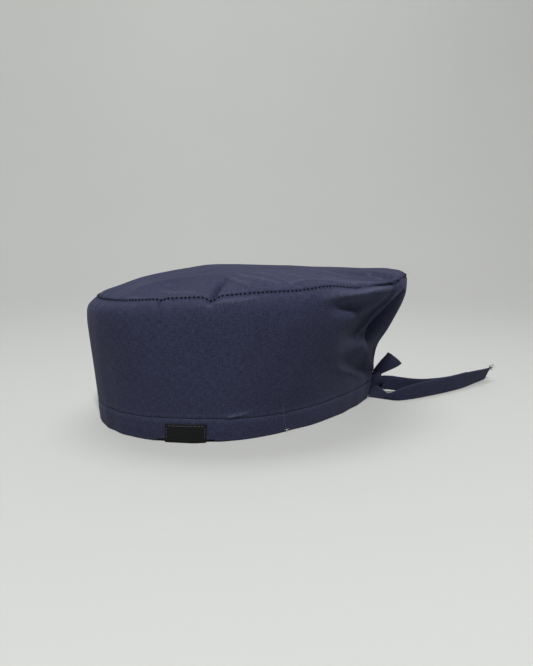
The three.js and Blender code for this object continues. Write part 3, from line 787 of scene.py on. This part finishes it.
# hem casing: the cloth goes down the outside, round the edge and up the inside, with a channel for the tape
def buildHem():
    angles = np.linspace(hem["opening"] - 180, 180 - hem["opening"], hem["columns"])
    angles = np.where(angles < 0, angles + 360, angles)
    radius = hem["wall"] / 2
    rowsDown, rowsRound, rowsUp = hem["rows"]
    foot, top = hemFoot(angles), hemTop(angles)
    heights, offsets = [], []
    for s in np.linspace(0, 1, rowsDown):
        height = top + (foot + radius - top) * s
        heights.append(height)
        dip = hem["stitchDip"] * bell((top - height) / hem["dipWidth"])
        offsets.append(hem["bulge"] * np.sin(np.pi * s) - dip)
    for a in np.linspace(0, np.pi, rowsRound)[1:]:
        heights.append(foot + radius - radius * np.sin(a))
        offsets.append(np.full_like(angles, -radius + radius * np.cos(a)))
    for s in np.linspace(0, 1, rowsUp)[1:]:
        heights.append(foot + radius + (top - hem["innerDrop"] - foot - radius) * s)
        offsets.append(np.full_like(angles, -2 * radius + hem["innerLean"] * s**3))
    heights, offsets = np.array(heights), np.array(offsets)
    outer = hemPoint(np.broadcast_to(angles, heights.shape), heights, offsets)[::-1]
    flat = pairs(runAlong(outer[-rowsDown // 2]), np.linspace(0, hem["flat"], len(outer))[:, None])
    belowStitches = bell((top - heights - rubAndShade["casingAt"]) / rubAndShade["hemWidth"])
    wearAndShade = (bell((heights - foot) / rubAndShade["edgeWidth"]) + rubAndShade["hem"] * belowStitches)[::-1]
    piece = clothMesh("hem_cloth", outer, hem["cloth"], False, flat, 1, poplin, wearAndShade)
    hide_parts("hem_casing")
    return piece


band = buildBand()
crown = buildCrown()
hemCloth = buildHem()
print("cap cloth built")


labelPerDegree = alongHem(np.array([label["angle"] + 1.0]))[0]


# how far the label's face stands out from the hem, from its top at 0 to its foot at 1
def labelProud(drop):
    bulge = np.sin(np.pi * (label["bulgeTop"] + label["bulgeSpan"] * drop))
    return label["stand"] + label["cloth"] + hem["bulge"] * bulge


# woven label folded round the hem's lower edge
def buildLabel():
    half = label["width"] / 2
    across = np.linspace(-half, half, label["columns"])
    angles = label["angle"] + across / labelPerDegree
    foot, thick, turn = label["foot"], label["cloth"], label["turn"]
    top = foot + label["height"]
    fall = top - foot - turn
    back = -hem["wall"] - label["stand"] - thick
    rowsDown, rowsRound, rowsUp = label["rows"]
    quarter = np.linspace(0, math.pi / 2, rowsRound)
    path = [(top - s * fall, labelProud(s)) for s in np.linspace(0, 1, rowsDown)]
    low = path[-1][1]
    path += [(foot + turn * (1 - math.sin(a)), low - turn * (1 - math.cos(a))) for a in quarter[1:]]
    path += [(foot + turn * (1 - math.cos(a)), back + turn * (1 - math.sin(a))) for a in quarter]
    path += [(foot + turn + s * fall, back) for s in np.linspace(0, 1, rowsUp)[1:]]
    heights, offsets = (np.array(column)[:, None] + np.zeros_like(angles) for column in zip(*path))
    outer = hemPoint(np.broadcast_to(angles, heights.shape), heights, offsets)[::-1]
    flat = pairs(across, runAlong(outer[:, label["columns"] // 2])[:, None])
    piece = clothMesh("label_cloth", outer, thick, False, flat, 1, labelWeave, None)
    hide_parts("hem_label")
    return piece


labelCloth = buildLabel()
print("label built")

# ties, routes in metres as in the solids: x, y and height of the tape's lower edge, lean in degrees, width
leftTailRoute = [
    (0.0076, 0.0911, 0.0006, 40, 0.0102),
    (0.0108, 0.0940, 0.0003, 36, 0.0100),
    (0.0136, 0.0970, 0.0002, 28, 0.0086),
    (0.0159, 0.0996, 0.0002, 18, 0.0066),
    (0.0181, 0.1019, 0.0002, 8, 0.0050),
    (0.0203, 0.1042, 0.0002, 2, 0.0058),
    (0.0222, 0.1066, 0.0002, 0, 0.0078),
    (0.0233, 0.1094, 0.0002, 0, 0.0094),
    (0.0234, 0.1128, 0.0002, 0, 0.0104),
    (0.0228, 0.1175, 0.0002, 0, 0.0112),
    (0.0216, 0.1261, 0.0002, -1, 0.0123),
    (0.0193, 0.1362, 0.0002, -2, 0.0128),
    (0.0171, 0.1442, 0.0002, -2, 0.0130),
    (0.0147, 0.1523, 0.0002, -2, 0.0130),
    (0.0119, 0.1615, 0.0002, -1, 0.0131),
    (0.0087, 0.1708, 0.0002, 0, 0.0131),
    (0.0042, 0.1812, 0.0002, -3, 0.0130),
    (-0.0010, 0.1913, 0.0002, -9, 0.0128),
    (-0.0074, 0.2034, 0.0002, -16, 0.0125),
    (-0.0148, 0.2160, 0.0002, -22, 0.0122),
]
rightTailRoute = [
    (0.0043, 0.1048, 0.0048, 0, 0.0110),
    (0.0049, 0.1088, 0.0042, -2, 0.0116),
    (0.0056, 0.1128, 0.0035, -3, 0.0120),
    (0.0064, 0.1168, 0.0028, -4, 0.0120),
    (0.0074, 0.1208, 0.0022, -4, 0.0120),
    (0.0084, 0.1248, 0.0016, -3, 0.0120),
    (0.0094, 0.1288, 0.0011, -2, 0.0120),
    (0.0102, 0.1328, 0.0007, 0, 0.0120),
    (0.0108, 0.1368, 0.0004, 1, 0.0120),
    (0.0110, 0.1408, 0.0002, 2, 0.0120),
    (0.0111, 0.1454, 0.0002, 2, 0.0120),
    (0.0108, 0.1500, 0.0002, 1, 0.0120),
    (0.0102, 0.1546, 0.0002, 0, 0.0120),
    (0.0093, 0.1592, 0.0002, 0, 0.0120),
    (0.0082, 0.1638, 0.0002, 0, 0.0120),
    (0.0068, 0.1684, 0.0002, 0, 0.0120),
    (0.0051, 0.1730, 0.0002, 0, 0.0120),
    (0.0032, 0.1776, 0.0002, 0, 0.0120),
    (0.0010, 0.1822, 0.0002, -2, 0.0120),
    (-0.0014, 0.1868, 0.0002, -4, 0.0120),
]
tape = {
    "thickness": 1.2,
    "stepsPerRow": 8,
    "acrossPoints": 15,
    "edgePower": 5,          # how square its edges are
    "stitchInset": 0.78,     # the sewn groove lies at this share of its half width
    "groove": 0.16,
    "grooveWidth": 0.08,
    "flatHalf": 6.0,
    "wave": (0.18, 5.3, 1.1, 2.2),  # height, length, start, spread across
    "rubPower": 8,
}
loop = {
    "root": (2.6, 101.3, 19.4),
    "rise": 32.0,
    "layers": [  # out, aside, width, skew, slip of the layer along its width
        (-3.0, 0.9, 5.6, 0, -0.2),
        (0.6, 1.5, 7.8, 4, 0.7),
        (4.5, 2.1, 10.2, 8, 1.2),
        (9.0, 2.5, 12.8, 12, 1.4),
        (13.6, 2.4, 14.9, 16, 1.25),
        (16.8, 1.6, 15.8, 19, 1.0),
        (17.9, 0.0, 16.4, 20, 0.7),
        (17.2, -1.6, 16.2, 19, -0.5),
        (13.8, -2.2, 14.2, 16, -1.0),
        (9.0, -2.1, 11.2, 12, -0.3),
        (4.5, -1.7, 8.6, 8, 0.0),
        (0.6, -1.2, 7.0, 4, 0.0),
        (-3.0, -0.7, 5.6, 0, -0.4),
    ],
}


# smooth line through rows of numbers, the same number of steps between each two
def smoothRows(rows, steps):
    rows = np.asarray(rows, float)
    padded = np.concatenate([[2 * rows[0] - rows[1]], rows, [2 * rows[-1] - rows[-2]]])
    place = np.linspace(0, len(rows) - 1, (len(rows) - 1) * steps + 1)
    low = np.minimum(place.astype(int), len(rows) - 2)
    t = (place - low)[:, None]
    a, b, c, d = (padded[low + i] for i in range(4))
    return 0.5 * (2 * b + (c - a) * t + (2 * a - 5 * b + 4 * c - d) * t**2 + (3 * b - 3 * c + d - a) * t**3)


# flat folded tape along its middles: rounded edges and a sewn groove near one edge
def tapeMesh(name, middles, across, widths):
    across = unit(across)
    run = unit(np.gradient(middles, axis=0))
    face = unit(np.cross(across, run))
    s = np.sin(np.linspace(-np.pi / 2, np.pi / 2, tape["acrossPoints"]))
    thick = tape["thickness"] / 2 * np.sqrt(np.clip(1 - np.abs(s) ** tape["edgePower"], 0, 1))
    thick = thick - tape["groove"] * bell((s - tape["stitchInset"]) / tape["grooveWidth"])
    v = np.concatenate([s, s[::-1][1:-1]])
    h = np.concatenate([thick, -thick[::-1][1:-1]])
    way = runAlong(middles)
    height, length, start, spread = tape["wave"]
    wave = height * np.sin(way / length + start)[:, None] * np.cos(v * spread)[None, :]
    grid = (middles[:, None, :] + across[:, None, :] * (v * widths[:, None] / 2)[..., None]
            + face[:, None, :] * (h[None, :] + wave)[..., None])
    rows, columns = grid.shape[:2]
    quads, flatQuads = gridQuads(rows, columns, True)
    around = np.append(np.cumsum(np.append(0, np.abs(np.diff(v)))), 4.0) * tape["flatHalf"]
    flat = pairs(way[:, None], around).reshape(-1, 2)
    ends = [list(range(columns))[::-1], list(range((rows - 1) * columns, rows * columns))]
    endFlat = np.stack([h, v], -1)
    corners = np.concatenate([flat[flatQuads].reshape(-1, 2), endFlat[::-1], endFlat])
    wearAndShade = np.broadcast_to(np.abs(v) ** tape["rubPower"], (rows, columns))
    return makeMesh(name, grid.reshape(-1, 3), quads.tolist() + ends, corners, shadedTapePoplin, wearAndShade)


def tailLines(route):
    rows = np.array(route)
    rows[:, [0, 1, 2, 4]] *= 1000  # all but the lean, from metres
    before = rows[np.maximum(np.arange(len(rows)) - 1, 0)]
    after = rows[np.minimum(np.arange(len(rows)) + 1, len(rows) - 1)]
    left = unit(np.stack([before[:, 1] - after[:, 1], after[:, 0] - before[:, 0], np.zeros(len(rows))], -1))
    lean = np.radians(rows[:, 3:4])
    across = np.array([0, 0, 1]) * np.cos(lean) + left * np.sin(lean)
    foot = rows[:, :3] + [0, 0, 1] * (tape["thickness"] / 2 * np.abs(np.sin(lean)))
    middle = foot + across * rows[:, 4:5] / 2
    fine = smoothRows(np.concatenate([middle, across, rows[:, 4:5]], 1), tape["stepsPerRow"])
    return fine[:, :3], fine[:, 3:6], fine[:, 6]


# the end that is drawn into the knot goes a little further than the free tape's route
def buildTail(name, route, drawnIn, node):
    middles, across, widths = tailLines(drawnIn + route)
    piece = tapeMesh(name, middles, across, widths)
    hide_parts(node)
    return piece, middles


def buildLoop():
    rise = math.radians(loop["rise"])
    rows = np.array(loop["layers"])
    turn = rise + np.radians(rows[:, 3])
    across = np.stack([np.zeros(len(rows)), -np.sin(turn), np.cos(turn)], -1)
    middle = np.array(loop["root"]) + rows[:, :1] * np.array([0, math.cos(rise), math.sin(rise)])
    middle[:, 0] += rows[:, 1]
    middle += across * rows[:, 4:5]
    fine = smoothRows(np.concatenate([middle, across, rows[:, 2:3]], 1), tape["stepsPerRow"])
    piece = tapeMesh("loop_tape", fine[:, :3], fine[:, 3:6], fine[:, 6])
    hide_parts("tie_loop")
    return piece


leftTail, leftMiddles = buildTail("left_tail_tape", leftTailRoute, [], "tie_tail_left")
rightDrawnIn = [(0.0038, 0.1008, 0.0066, 6, 0.0080)]
rightTail, rightMiddles = buildTail("right_tail_tape", rightTailRoute, rightDrawnIn, "tie_tail_right")
loopTape = buildLoop()

# the knot: a soft core with the tape wound round it, and the two short runs out of the casing
knot = {
    "centre": (3.2, 99.8, 13.6),
    "core": (4.7, 4.3, 5.2),
    "coreRows": 25,
    "coreColumns": 40,
    "pleats": [(0.06, 5, 3, 0), (0.05, 9, -2, 1)],  # size, waves round, waves along, start
    "wrapRadius": (5.0, 4.3),
    "wrapWidth": 7.6,
    "wrapTurns": 1.35,
    "wrapSteps": 70,
    "wrapClimb": 0.9,     # either way along the axis
    "wrapSwell": 0.1,
    "wrapTilt": 12,
    "axis": (0.2, 0.85, 0.3),
    "mouths": [  # tape from each end of the casing to the knot: x, y, z of its middle and its width
        ("left", [(2.7, 89.6, 7.2, 12.4), (3.9, 91.8, 7.8, 13.2), (5.4, 94.2, 9.8, 13.0),
                  (6.4, 96.6, 11.6, 12.2), (6.2, 98.8, 12.8, 9.6), (5.2, 100.6, 13.4, 7.6)]),
        ("right", [(-2.7, 90.5, 7.4, 9.6), (-1.9, 93.6, 8.4, 9.4), (0.0, 96.8, 10.2, 8.6),
                   (1.8, 98.9, 12.2, 7.0)]),
    ],
    "mouthAcross": (0.0, -0.3, 0.95),
}


def buildKnot():
    centre = np.array(knot["centre"])
    axis = unit(np.array(knot["axis"]))
    side = unit(np.cross(axis, [1.0, 0, 0]))
    other = np.cross(axis, side)
    steps = knot["wrapSteps"]
    turns = np.linspace(0, knot["wrapTurns"] * 2 * np.pi, steps)
    climb = np.linspace(-knot["wrapClimb"], knot["wrapClimb"], steps)
    swell = 1 + knot["wrapSwell"] * np.linspace(0, 1, steps)
    wide, deep = knot["wrapRadius"]
    middles = (centre + side * (wide * swell * np.cos(turns))[:, None]
               + other * (deep * swell * np.sin(turns))[:, None] + axis * climb[:, None])
    tilt = np.radians(knot["wrapTilt"] * np.sin(turns))[:, None]
    across = axis * np.cos(tilt) + side * np.sin(tilt)
    wrap = tapeMesh("knot_wrap", middles, across, np.full(steps, knot["wrapWidth"]))
    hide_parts("tie_knot")
    columns = knot["coreColumns"]
    u = np.linspace(0, np.pi, knot["coreRows"])[1:-1]
    uu, vv = np.meshgrid(u, np.arange(columns) * 2 * np.pi / columns, indexing="ij")
    pleat = np.ones_like(uu)
    for size, around, along, start in knot["pleats"]:
        pleat = pleat + size * np.sin(around * vv + along * uu + start)
    core = np.stack([np.sin(uu) * np.cos(vv), np.cos(uu), np.sin(uu) * np.sin(vv)], -1) * pleat[..., None]
    grid = centre + core * np.array(knot["core"])
    poles = centre + np.array([[0, 1, 0], [0, -1, 0]]) * knot["core"][1]
    points = np.concatenate([grid.reshape(-1, 3), poles])
    quads, _ = gridQuads(len(u), columns, True)
    last, end = (len(u) - 1) * columns, len(u) * columns
    c = np.arange(columns)
    fans = [(a, end, b) for a, b in zip(c, (c + 1) % columns)]
    fans += [(last + b, end + 1, last + a) for a, b in zip(c, (c + 1) % columns)]
    faces = [f[::-1] for f in quads.tolist() + fans]
    corners = np.concatenate([np.ravel(f) for f in faces])
    makeMesh("knot_core", points, faces, points[corners][:, [0, 2]], shadedTapePoplin)
    for mouth, rows in knot["mouths"]:
        fine = smoothRows(rows, tape["stepsPerRow"])
        across = np.tile(knot["mouthAcross"], (len(fine), 1))
        tapeMesh("casing_tape_" + mouth, fine[:, :3], across, fine[:, 3])


buildKnot()
print("ties built")

# how stitches and loose strands are made
thread = {
    "rings": 6,
    "sides": 6,
    "blunt": 0.04,      # share of a stroke by which each end is cut short of a point
    "uneven": 0.06,     # share of the pitch that a stroke may stray
    "strandRings": 9,
    "strandSides": 5,
    "strandTaper": 0.6,
    "offFloor": 0.05,   # a loose strand stays this far above the floor
}


# short rounded strokes of thread from starts to ends, bowed out along their normals
def threadStrokes(name, starts, ends, outward, radius, bow, material):
    rings, sides, blunt = thread["rings"], thread["sides"], thread["blunt"]
    t = np.linspace(0, 1, rings)
    run = unit(ends - starts)
    sideways = unit(np.cross(outward, run))
    outward = np.cross(run, sideways)
    middle = (starts[:, None] + (ends - starts)[:, None] * t[None, :, None]
              + outward[:, None] * (bow * np.sin(np.pi * t))[None, :, None])
    thick = radius * np.sqrt(np.clip(np.sin(np.pi * (blunt + (1 - 2 * blunt) * t)), 0, 1))
    a = np.arange(sides) * 2 * np.pi / sides
    spoke = (sideways[:, None, None] * np.cos(a)[None, None, :, None]
             + outward[:, None, None] * np.sin(a)[None, None, :, None])
    points = middle[:, :, None] + spoke * thick[None, :, None, None]
    quads, _ = gridQuads(rings, sides, True)
    size = rings * sides
    shifts = (np.arange(len(starts)) * size)[:, None, None]
    faces = (quads[None] + shifts).reshape(-1, 4).tolist()
    for i in range(len(starts)):
        faces.append(list(range(i * size, i * size + sides))[::-1])
        faces.append(list(range((i + 1) * size - sides, (i + 1) * size)))
    return makeMesh(name, points.reshape(-1, 3), faces, None, material)


# strokes spaced a little unevenly along a line of points on the cloth
def strokesAlong(name, line, outward, stitch, lift, material):
    way = runAlong(line)
    pitch, length = stitch["pitch"], stitch["length"]
    starts = np.arange(pitch / 2, way[-1] - length, pitch)
    starts = starts + draws.uniform(-thread["uneven"], thread["uneven"], len(starts)) * pitch
    first, last = (np.stack([np.interp(s, way, line[:, k]) for k in range(3)], -1)
                   for s in (starts, starts + length))
    out = unit(np.stack([np.interp(starts, way, outward[:, k]) for k in range(3)], -1))
    return threadStrokes(name, first + out * lift, last + out * lift, out, stitch["radius"], stitch["bow"],
                         material)


def levelOutward(line):
    return rightOf(np.gradient(line, axis=0))


# the crown's stitching sinks out of sight in the folds at both rear corners
crownStitch = {
    "pitch": cap["stitch"],
    "length": 1.25,
    "radius": 0.55,
    "bow": 0.1,
    "upward": 0.8,
    "points": 1600,
    "runs": [  # name, angles from and to, lift out of the seam
        ("crown_stitches_front", 240, 479, 0.3),
        ("crown_stitches_nape", 148, 214, 0.05),
    ],
}
for name, first, last, lift in crownStitch["runs"]:
    seamAngles = np.linspace(first, last, crownStitch["points"]) % 360
    seamLine = bandSurface(seamAngles, np.ones_like(seamAngles))
    seamOut = unit(levelOutward(seamLine) + [0, 0, crownStitch["upward"]])
    strokesAlong(name, seamLine, seamOut, crownStitch, lift, darkThread)

hemStitch = {"pitch": cap["stitch"], "length": 1.8, "radius": 0.16, "bow": 0.05, "lift": 0.02, "points": 2400}
hemAngles = np.linspace(hem["opening"] - 180, 180 - hem["opening"], hemStitch["points"]) % 360
hemLine = hemPoint(hemAngles, hemTop(hemAngles), np.full_like(hemAngles, -hem["stitchDip"]))
hemOut = levelOutward(hemLine)
strokesAlong("hem_stitches", hemLine, hemOut, hemStitch, hemStitch["lift"], darkThread)

labelStitch = {"pitch": 1.7, "length": 1.15, "radius": 0.17, "bow": 0.07, "lift": 0.08,
               "sideInset": 1.0, "topInset": 1.1, "cornerGap": 0.6, "foot": 2.2, "points": 60}


# a sewn line on the label between two places: millimetres along it and above its foot
def labelRow(name, start, end):
    places = np.linspace(start, end, labelStitch["points"])
    angles = label["angle"] + places[:, 0] / labelPerDegree
    proud = labelProud((label["height"] - places[:, 1]) / label["height"])
    line = hemPoint(angles, label["foot"] + places[:, 1], proud)
    outward = hemPoint(angles, label["foot"] + places[:, 1], proud + 1) - line
    strokesAlong(name, line, outward, labelStitch, labelStitch["lift"], greyThread)


inset = label["width"] / 2 - labelStitch["sideInset"]
topRow = label["height"] - labelStitch["topInset"]
labelRow("label_stitches_top", (-inset, topRow), (inset, topRow))
for name, place in (("label_stitches_front", -inset), ("label_stitches_rear", inset)):
    labelRow(name, (place, topRow - labelStitch["cornerGap"]), (place, labelStitch["foot"]))

# a short sewn bar across the hem in paler thread, worn to dots
barStitch = {"pitch": 2.4, "length": 0.6, "radius": 0.12, "bow": 0.04, "lift": 0.05,
             "angles": (102.8, 106.5), "heights": (22.5, 1.8), "outward": (0.96, 0.27, 0.0), "points": 40}
barAngles = np.linspace(*barStitch["angles"], barStitch["points"])
barHeights = np.linspace(*barStitch["heights"], barStitch["points"])
onBand = bandSurface(barAngles, barHeights / seamHeight(barAngles))
onHem = hemPoint(barAngles, barHeights, np.full_like(barAngles, hem["bulge"]))
barLine = np.where((barHeights > hemTop(barAngles))[:, None], onBand, onHem)
barOut = unit(np.tile(barStitch["outward"], (len(barLine), 1)))
strokesAlong("bar_stitches", barLine, barOut, barStitch, barStitch["lift"], blueThread)


# loose curling strands of thread from given roots
def strands(name, roots, ways, lengths, radius, curl, material):
    parts, faces = [], []
    rings, sides = thread["strandRings"], thread["strandSides"]
    quads, _ = gridQuads(rings, sides, True)
    for k, (root, way, length) in enumerate(zip(roots, ways, lengths)):
        t = np.linspace(0, 1, rings)[:, None]
        bend = unit(np.cross(way, draws.normal(size=3)))
        line = root + unit(way) * t * length + bend * curl * length * t**2
        side = unit(np.cross(bend, unit(way)))
        turn = np.arange(sides) * 2 * np.pi / sides
        ring = bend * np.cos(turn)[:, None] + side * np.sin(turn)[:, None]
        thick = radius * (1 - thread["strandTaper"] * t)
        parts.append((line[:, None] + ring[None] * thick[:, None]).reshape(-1, 3))
        base = k * rings * sides
        faces += (quads + base).tolist()
        faces.append(list(range(base, base + sides))[::-1])
        faces.append(list(range(base + (rings - 1) * sides, base + rings * sides)))
    points = np.concatenate(parts)
    points[:, 2] = np.maximum(points[:, 2], thread["offFloor"])
    makeMesh(name, points, faces, None, material)


# frayed end of the left tape: strands out of its cut edge, most of them at the upper corner
fray = {
    "threads": [  # name, count, spread down the edge, material
        ("fray_dark", 40, 1.9, darkThread),
        ("fray_pale", 9, 0.5, paleThread),
    ],
    "longest": 5.6,
    "shortest": 0.25,    # shares of the longest, along the edge and at its foot
    "footLength": 0.35,
    "radius": 0.22,
    "curl": 0.35,
    "stray": 0.45,
    "upward": 0.3,
    "edge": 0.96,
    "rootDepth": 0.3,
}


def frayTail():
    middles, across, widths = tailLines(leftTailRoute)
    end, up, way = middles[-1], unit(across[-1]), unit(middles[-1] - middles[-4])
    foot = fray["footLength"]
    for name, count, spread, material in fray["threads"]:
        place = 1 - draws.uniform(0, 1, count) ** 2 * spread
        roots = end + up * (place * widths[-1] / 2 * fray["edge"])[:, None] - way * fray["rootDepth"]
        ways = way + draws.normal(0, fray["stray"], (count, 3)) + up * (place * fray["upward"])[:, None]
        lengths = fray["longest"] * draws.uniform(fray["shortest"], 1, count)
        lengths = lengths * (foot + (1 - foot) * np.clip(place, 0, 1))
        strands(name, roots, ways, lengths, fray["radius"], fray["curl"], material)


frayTail()

# a small tuft of thread ends at the foot of the sewn bar
tuft = {"angle": 106.4, "height": 1.6, "count": 5, "spread": 0.35, "way": (0.75, 0.3, -0.1), "stray": 0.5,
        "lengths": (1.4, 3.0), "radius": 0.15, "curl": 0.6, "sink": 0.3}
tuftPlace = [np.array([value]) for value in (tuft["angle"], tuft["height"], hem["bulge"] * tuft["sink"])]
tuftRoot = hemPoint(*tuftPlace)[0]
tuftRoots = tuftRoot + draws.normal(0, tuft["spread"], (tuft["count"], 3))
tuftWays = np.array(tuft["way"]) + draws.normal(0, tuft["stray"], (tuft["count"], 3))
tuftLengths = draws.uniform(*tuft["lengths"], tuft["count"])
strands("hem_tuft", tuftRoots, tuftWays, tuftLengths, tuft["radius"], tuft["curl"], paleThread)
print("stitches sewn")

# stage: a pale floor that turns up into a wall all round, in metres
studio = {
    "innerRings": (0.02, 0.4),
    "floorRadius": 0.75,
    "bend": 1.5,
    "bendSteps": 16,
    "wall": 3.2,
    "sides": 96,
    "colour": "#a1a2a0",
    "mottle": 0.03,
    "roughness": 0.7,
    "specular": 0.2,
    "air": "#e9ebee",
    "airStrength": 0.06,
}


def buildStage():
    radius, bend, sides = studio["floorRadius"], studio["bend"], studio["sides"]
    profile = [(ring, 0.0) for ring in studio["innerRings"]]
    quarter = np.linspace(0, np.pi / 2, studio["bendSteps"])
    profile += [(radius + bend * math.sin(a), bend * (1 - math.cos(a))) for a in quarter]
    profile += [(radius + bend, studio["wall"])]
    turns = np.arange(sides) * 2 * np.pi / sides
    grid = np.array([[(r * math.cos(a), r * math.sin(a), z) for a in turns] for r, z in profile])
    quads, _ = gridQuads(len(profile), sides, True)
    faces = quads.tolist() + [list(range(sides))[::-1]]
    mesh = bpy.data.meshes.new("floor")
    mesh.from_pydata(grid.reshape(-1, 3).tolist(), [], faces)
    mesh.shade_smooth()
    material = newMaterial("matt_painted_board")
    grain = addNode(material, "TexNoise", {"Scale": 6.0, "Detail": 4.0}, {})
    tone = addNode(material, "MapRange", {"To Min": 1 - studio["mottle"], "To Max": 1 + studio["mottle"]},
                   {"Value": (grain, "Fac")})
    paint = addNode(material, "VectorMath", {"operation": "SCALE", 0: hexToLinear(studio["colour"])[:3]},
                    {"Scale": (tone, "Result")})
    shader = addNode(material, "BsdfPrincipled",
                     {"Roughness": studio["roughness"], "Specular IOR Level": studio["specular"]},
                     {"Base Color": (paint, "Vector")})
    addNode(material, "OutputMaterial", {}, {"Surface": (shader, "BSDF")})
    mesh.materials.append(material)
    floor = bpy.data.objects.new("floor", mesh)
    bpy.context.scene.collection.objects.link(floor)


# soft lamps: place, size, watts and where each points
lamps = {
    "key": ((0.92, -0.16, 1.39), 0.2, 40.0, (0.0, 0.03, 0.05)),
    "rear": ((-0.9, 0.2, 1.5), 1.2, 1.0, (0.0, 0.03, 0.05)),
    "wall": ((-0.7, 0.1, 2.2), 1.6, 42.0, (-2.1, 0.3, 0.5)),
}


def buildLamps():
    for name, (place, size, watts, target) in lamps.items():
        data = bpy.data.lights.new(name, "AREA")
        data.shape = "DISK"
        data.size = size
        data.energy = watts
        lamp = bpy.data.objects.new(name, data)
        lamp.location = place
        aim = np.array(target) - np.array(place)
        lamp.rotation_euler = (math.pi - math.acos(aim[2] / np.linalg.norm(aim)), 0,
                               math.atan2(aim[1], aim[0]) - math.pi / 2)
        bpy.context.scene.collection.objects.link(lamp)
    world = bpy.data.worlds.new("studio_air")
    world.use_nodes = True
    world.node_tree.nodes["Background"].inputs["Color"].default_value = hexToLinear(studio["air"])
    world.node_tree.nodes["Background"].inputs["Strength"].default_value = studio["airStrength"]
    bpy.context.scene.world = world
    bpy.context.scene.view_settings.view_transform = "Standard"


buildStage()
buildLamps()
print("stage lit")
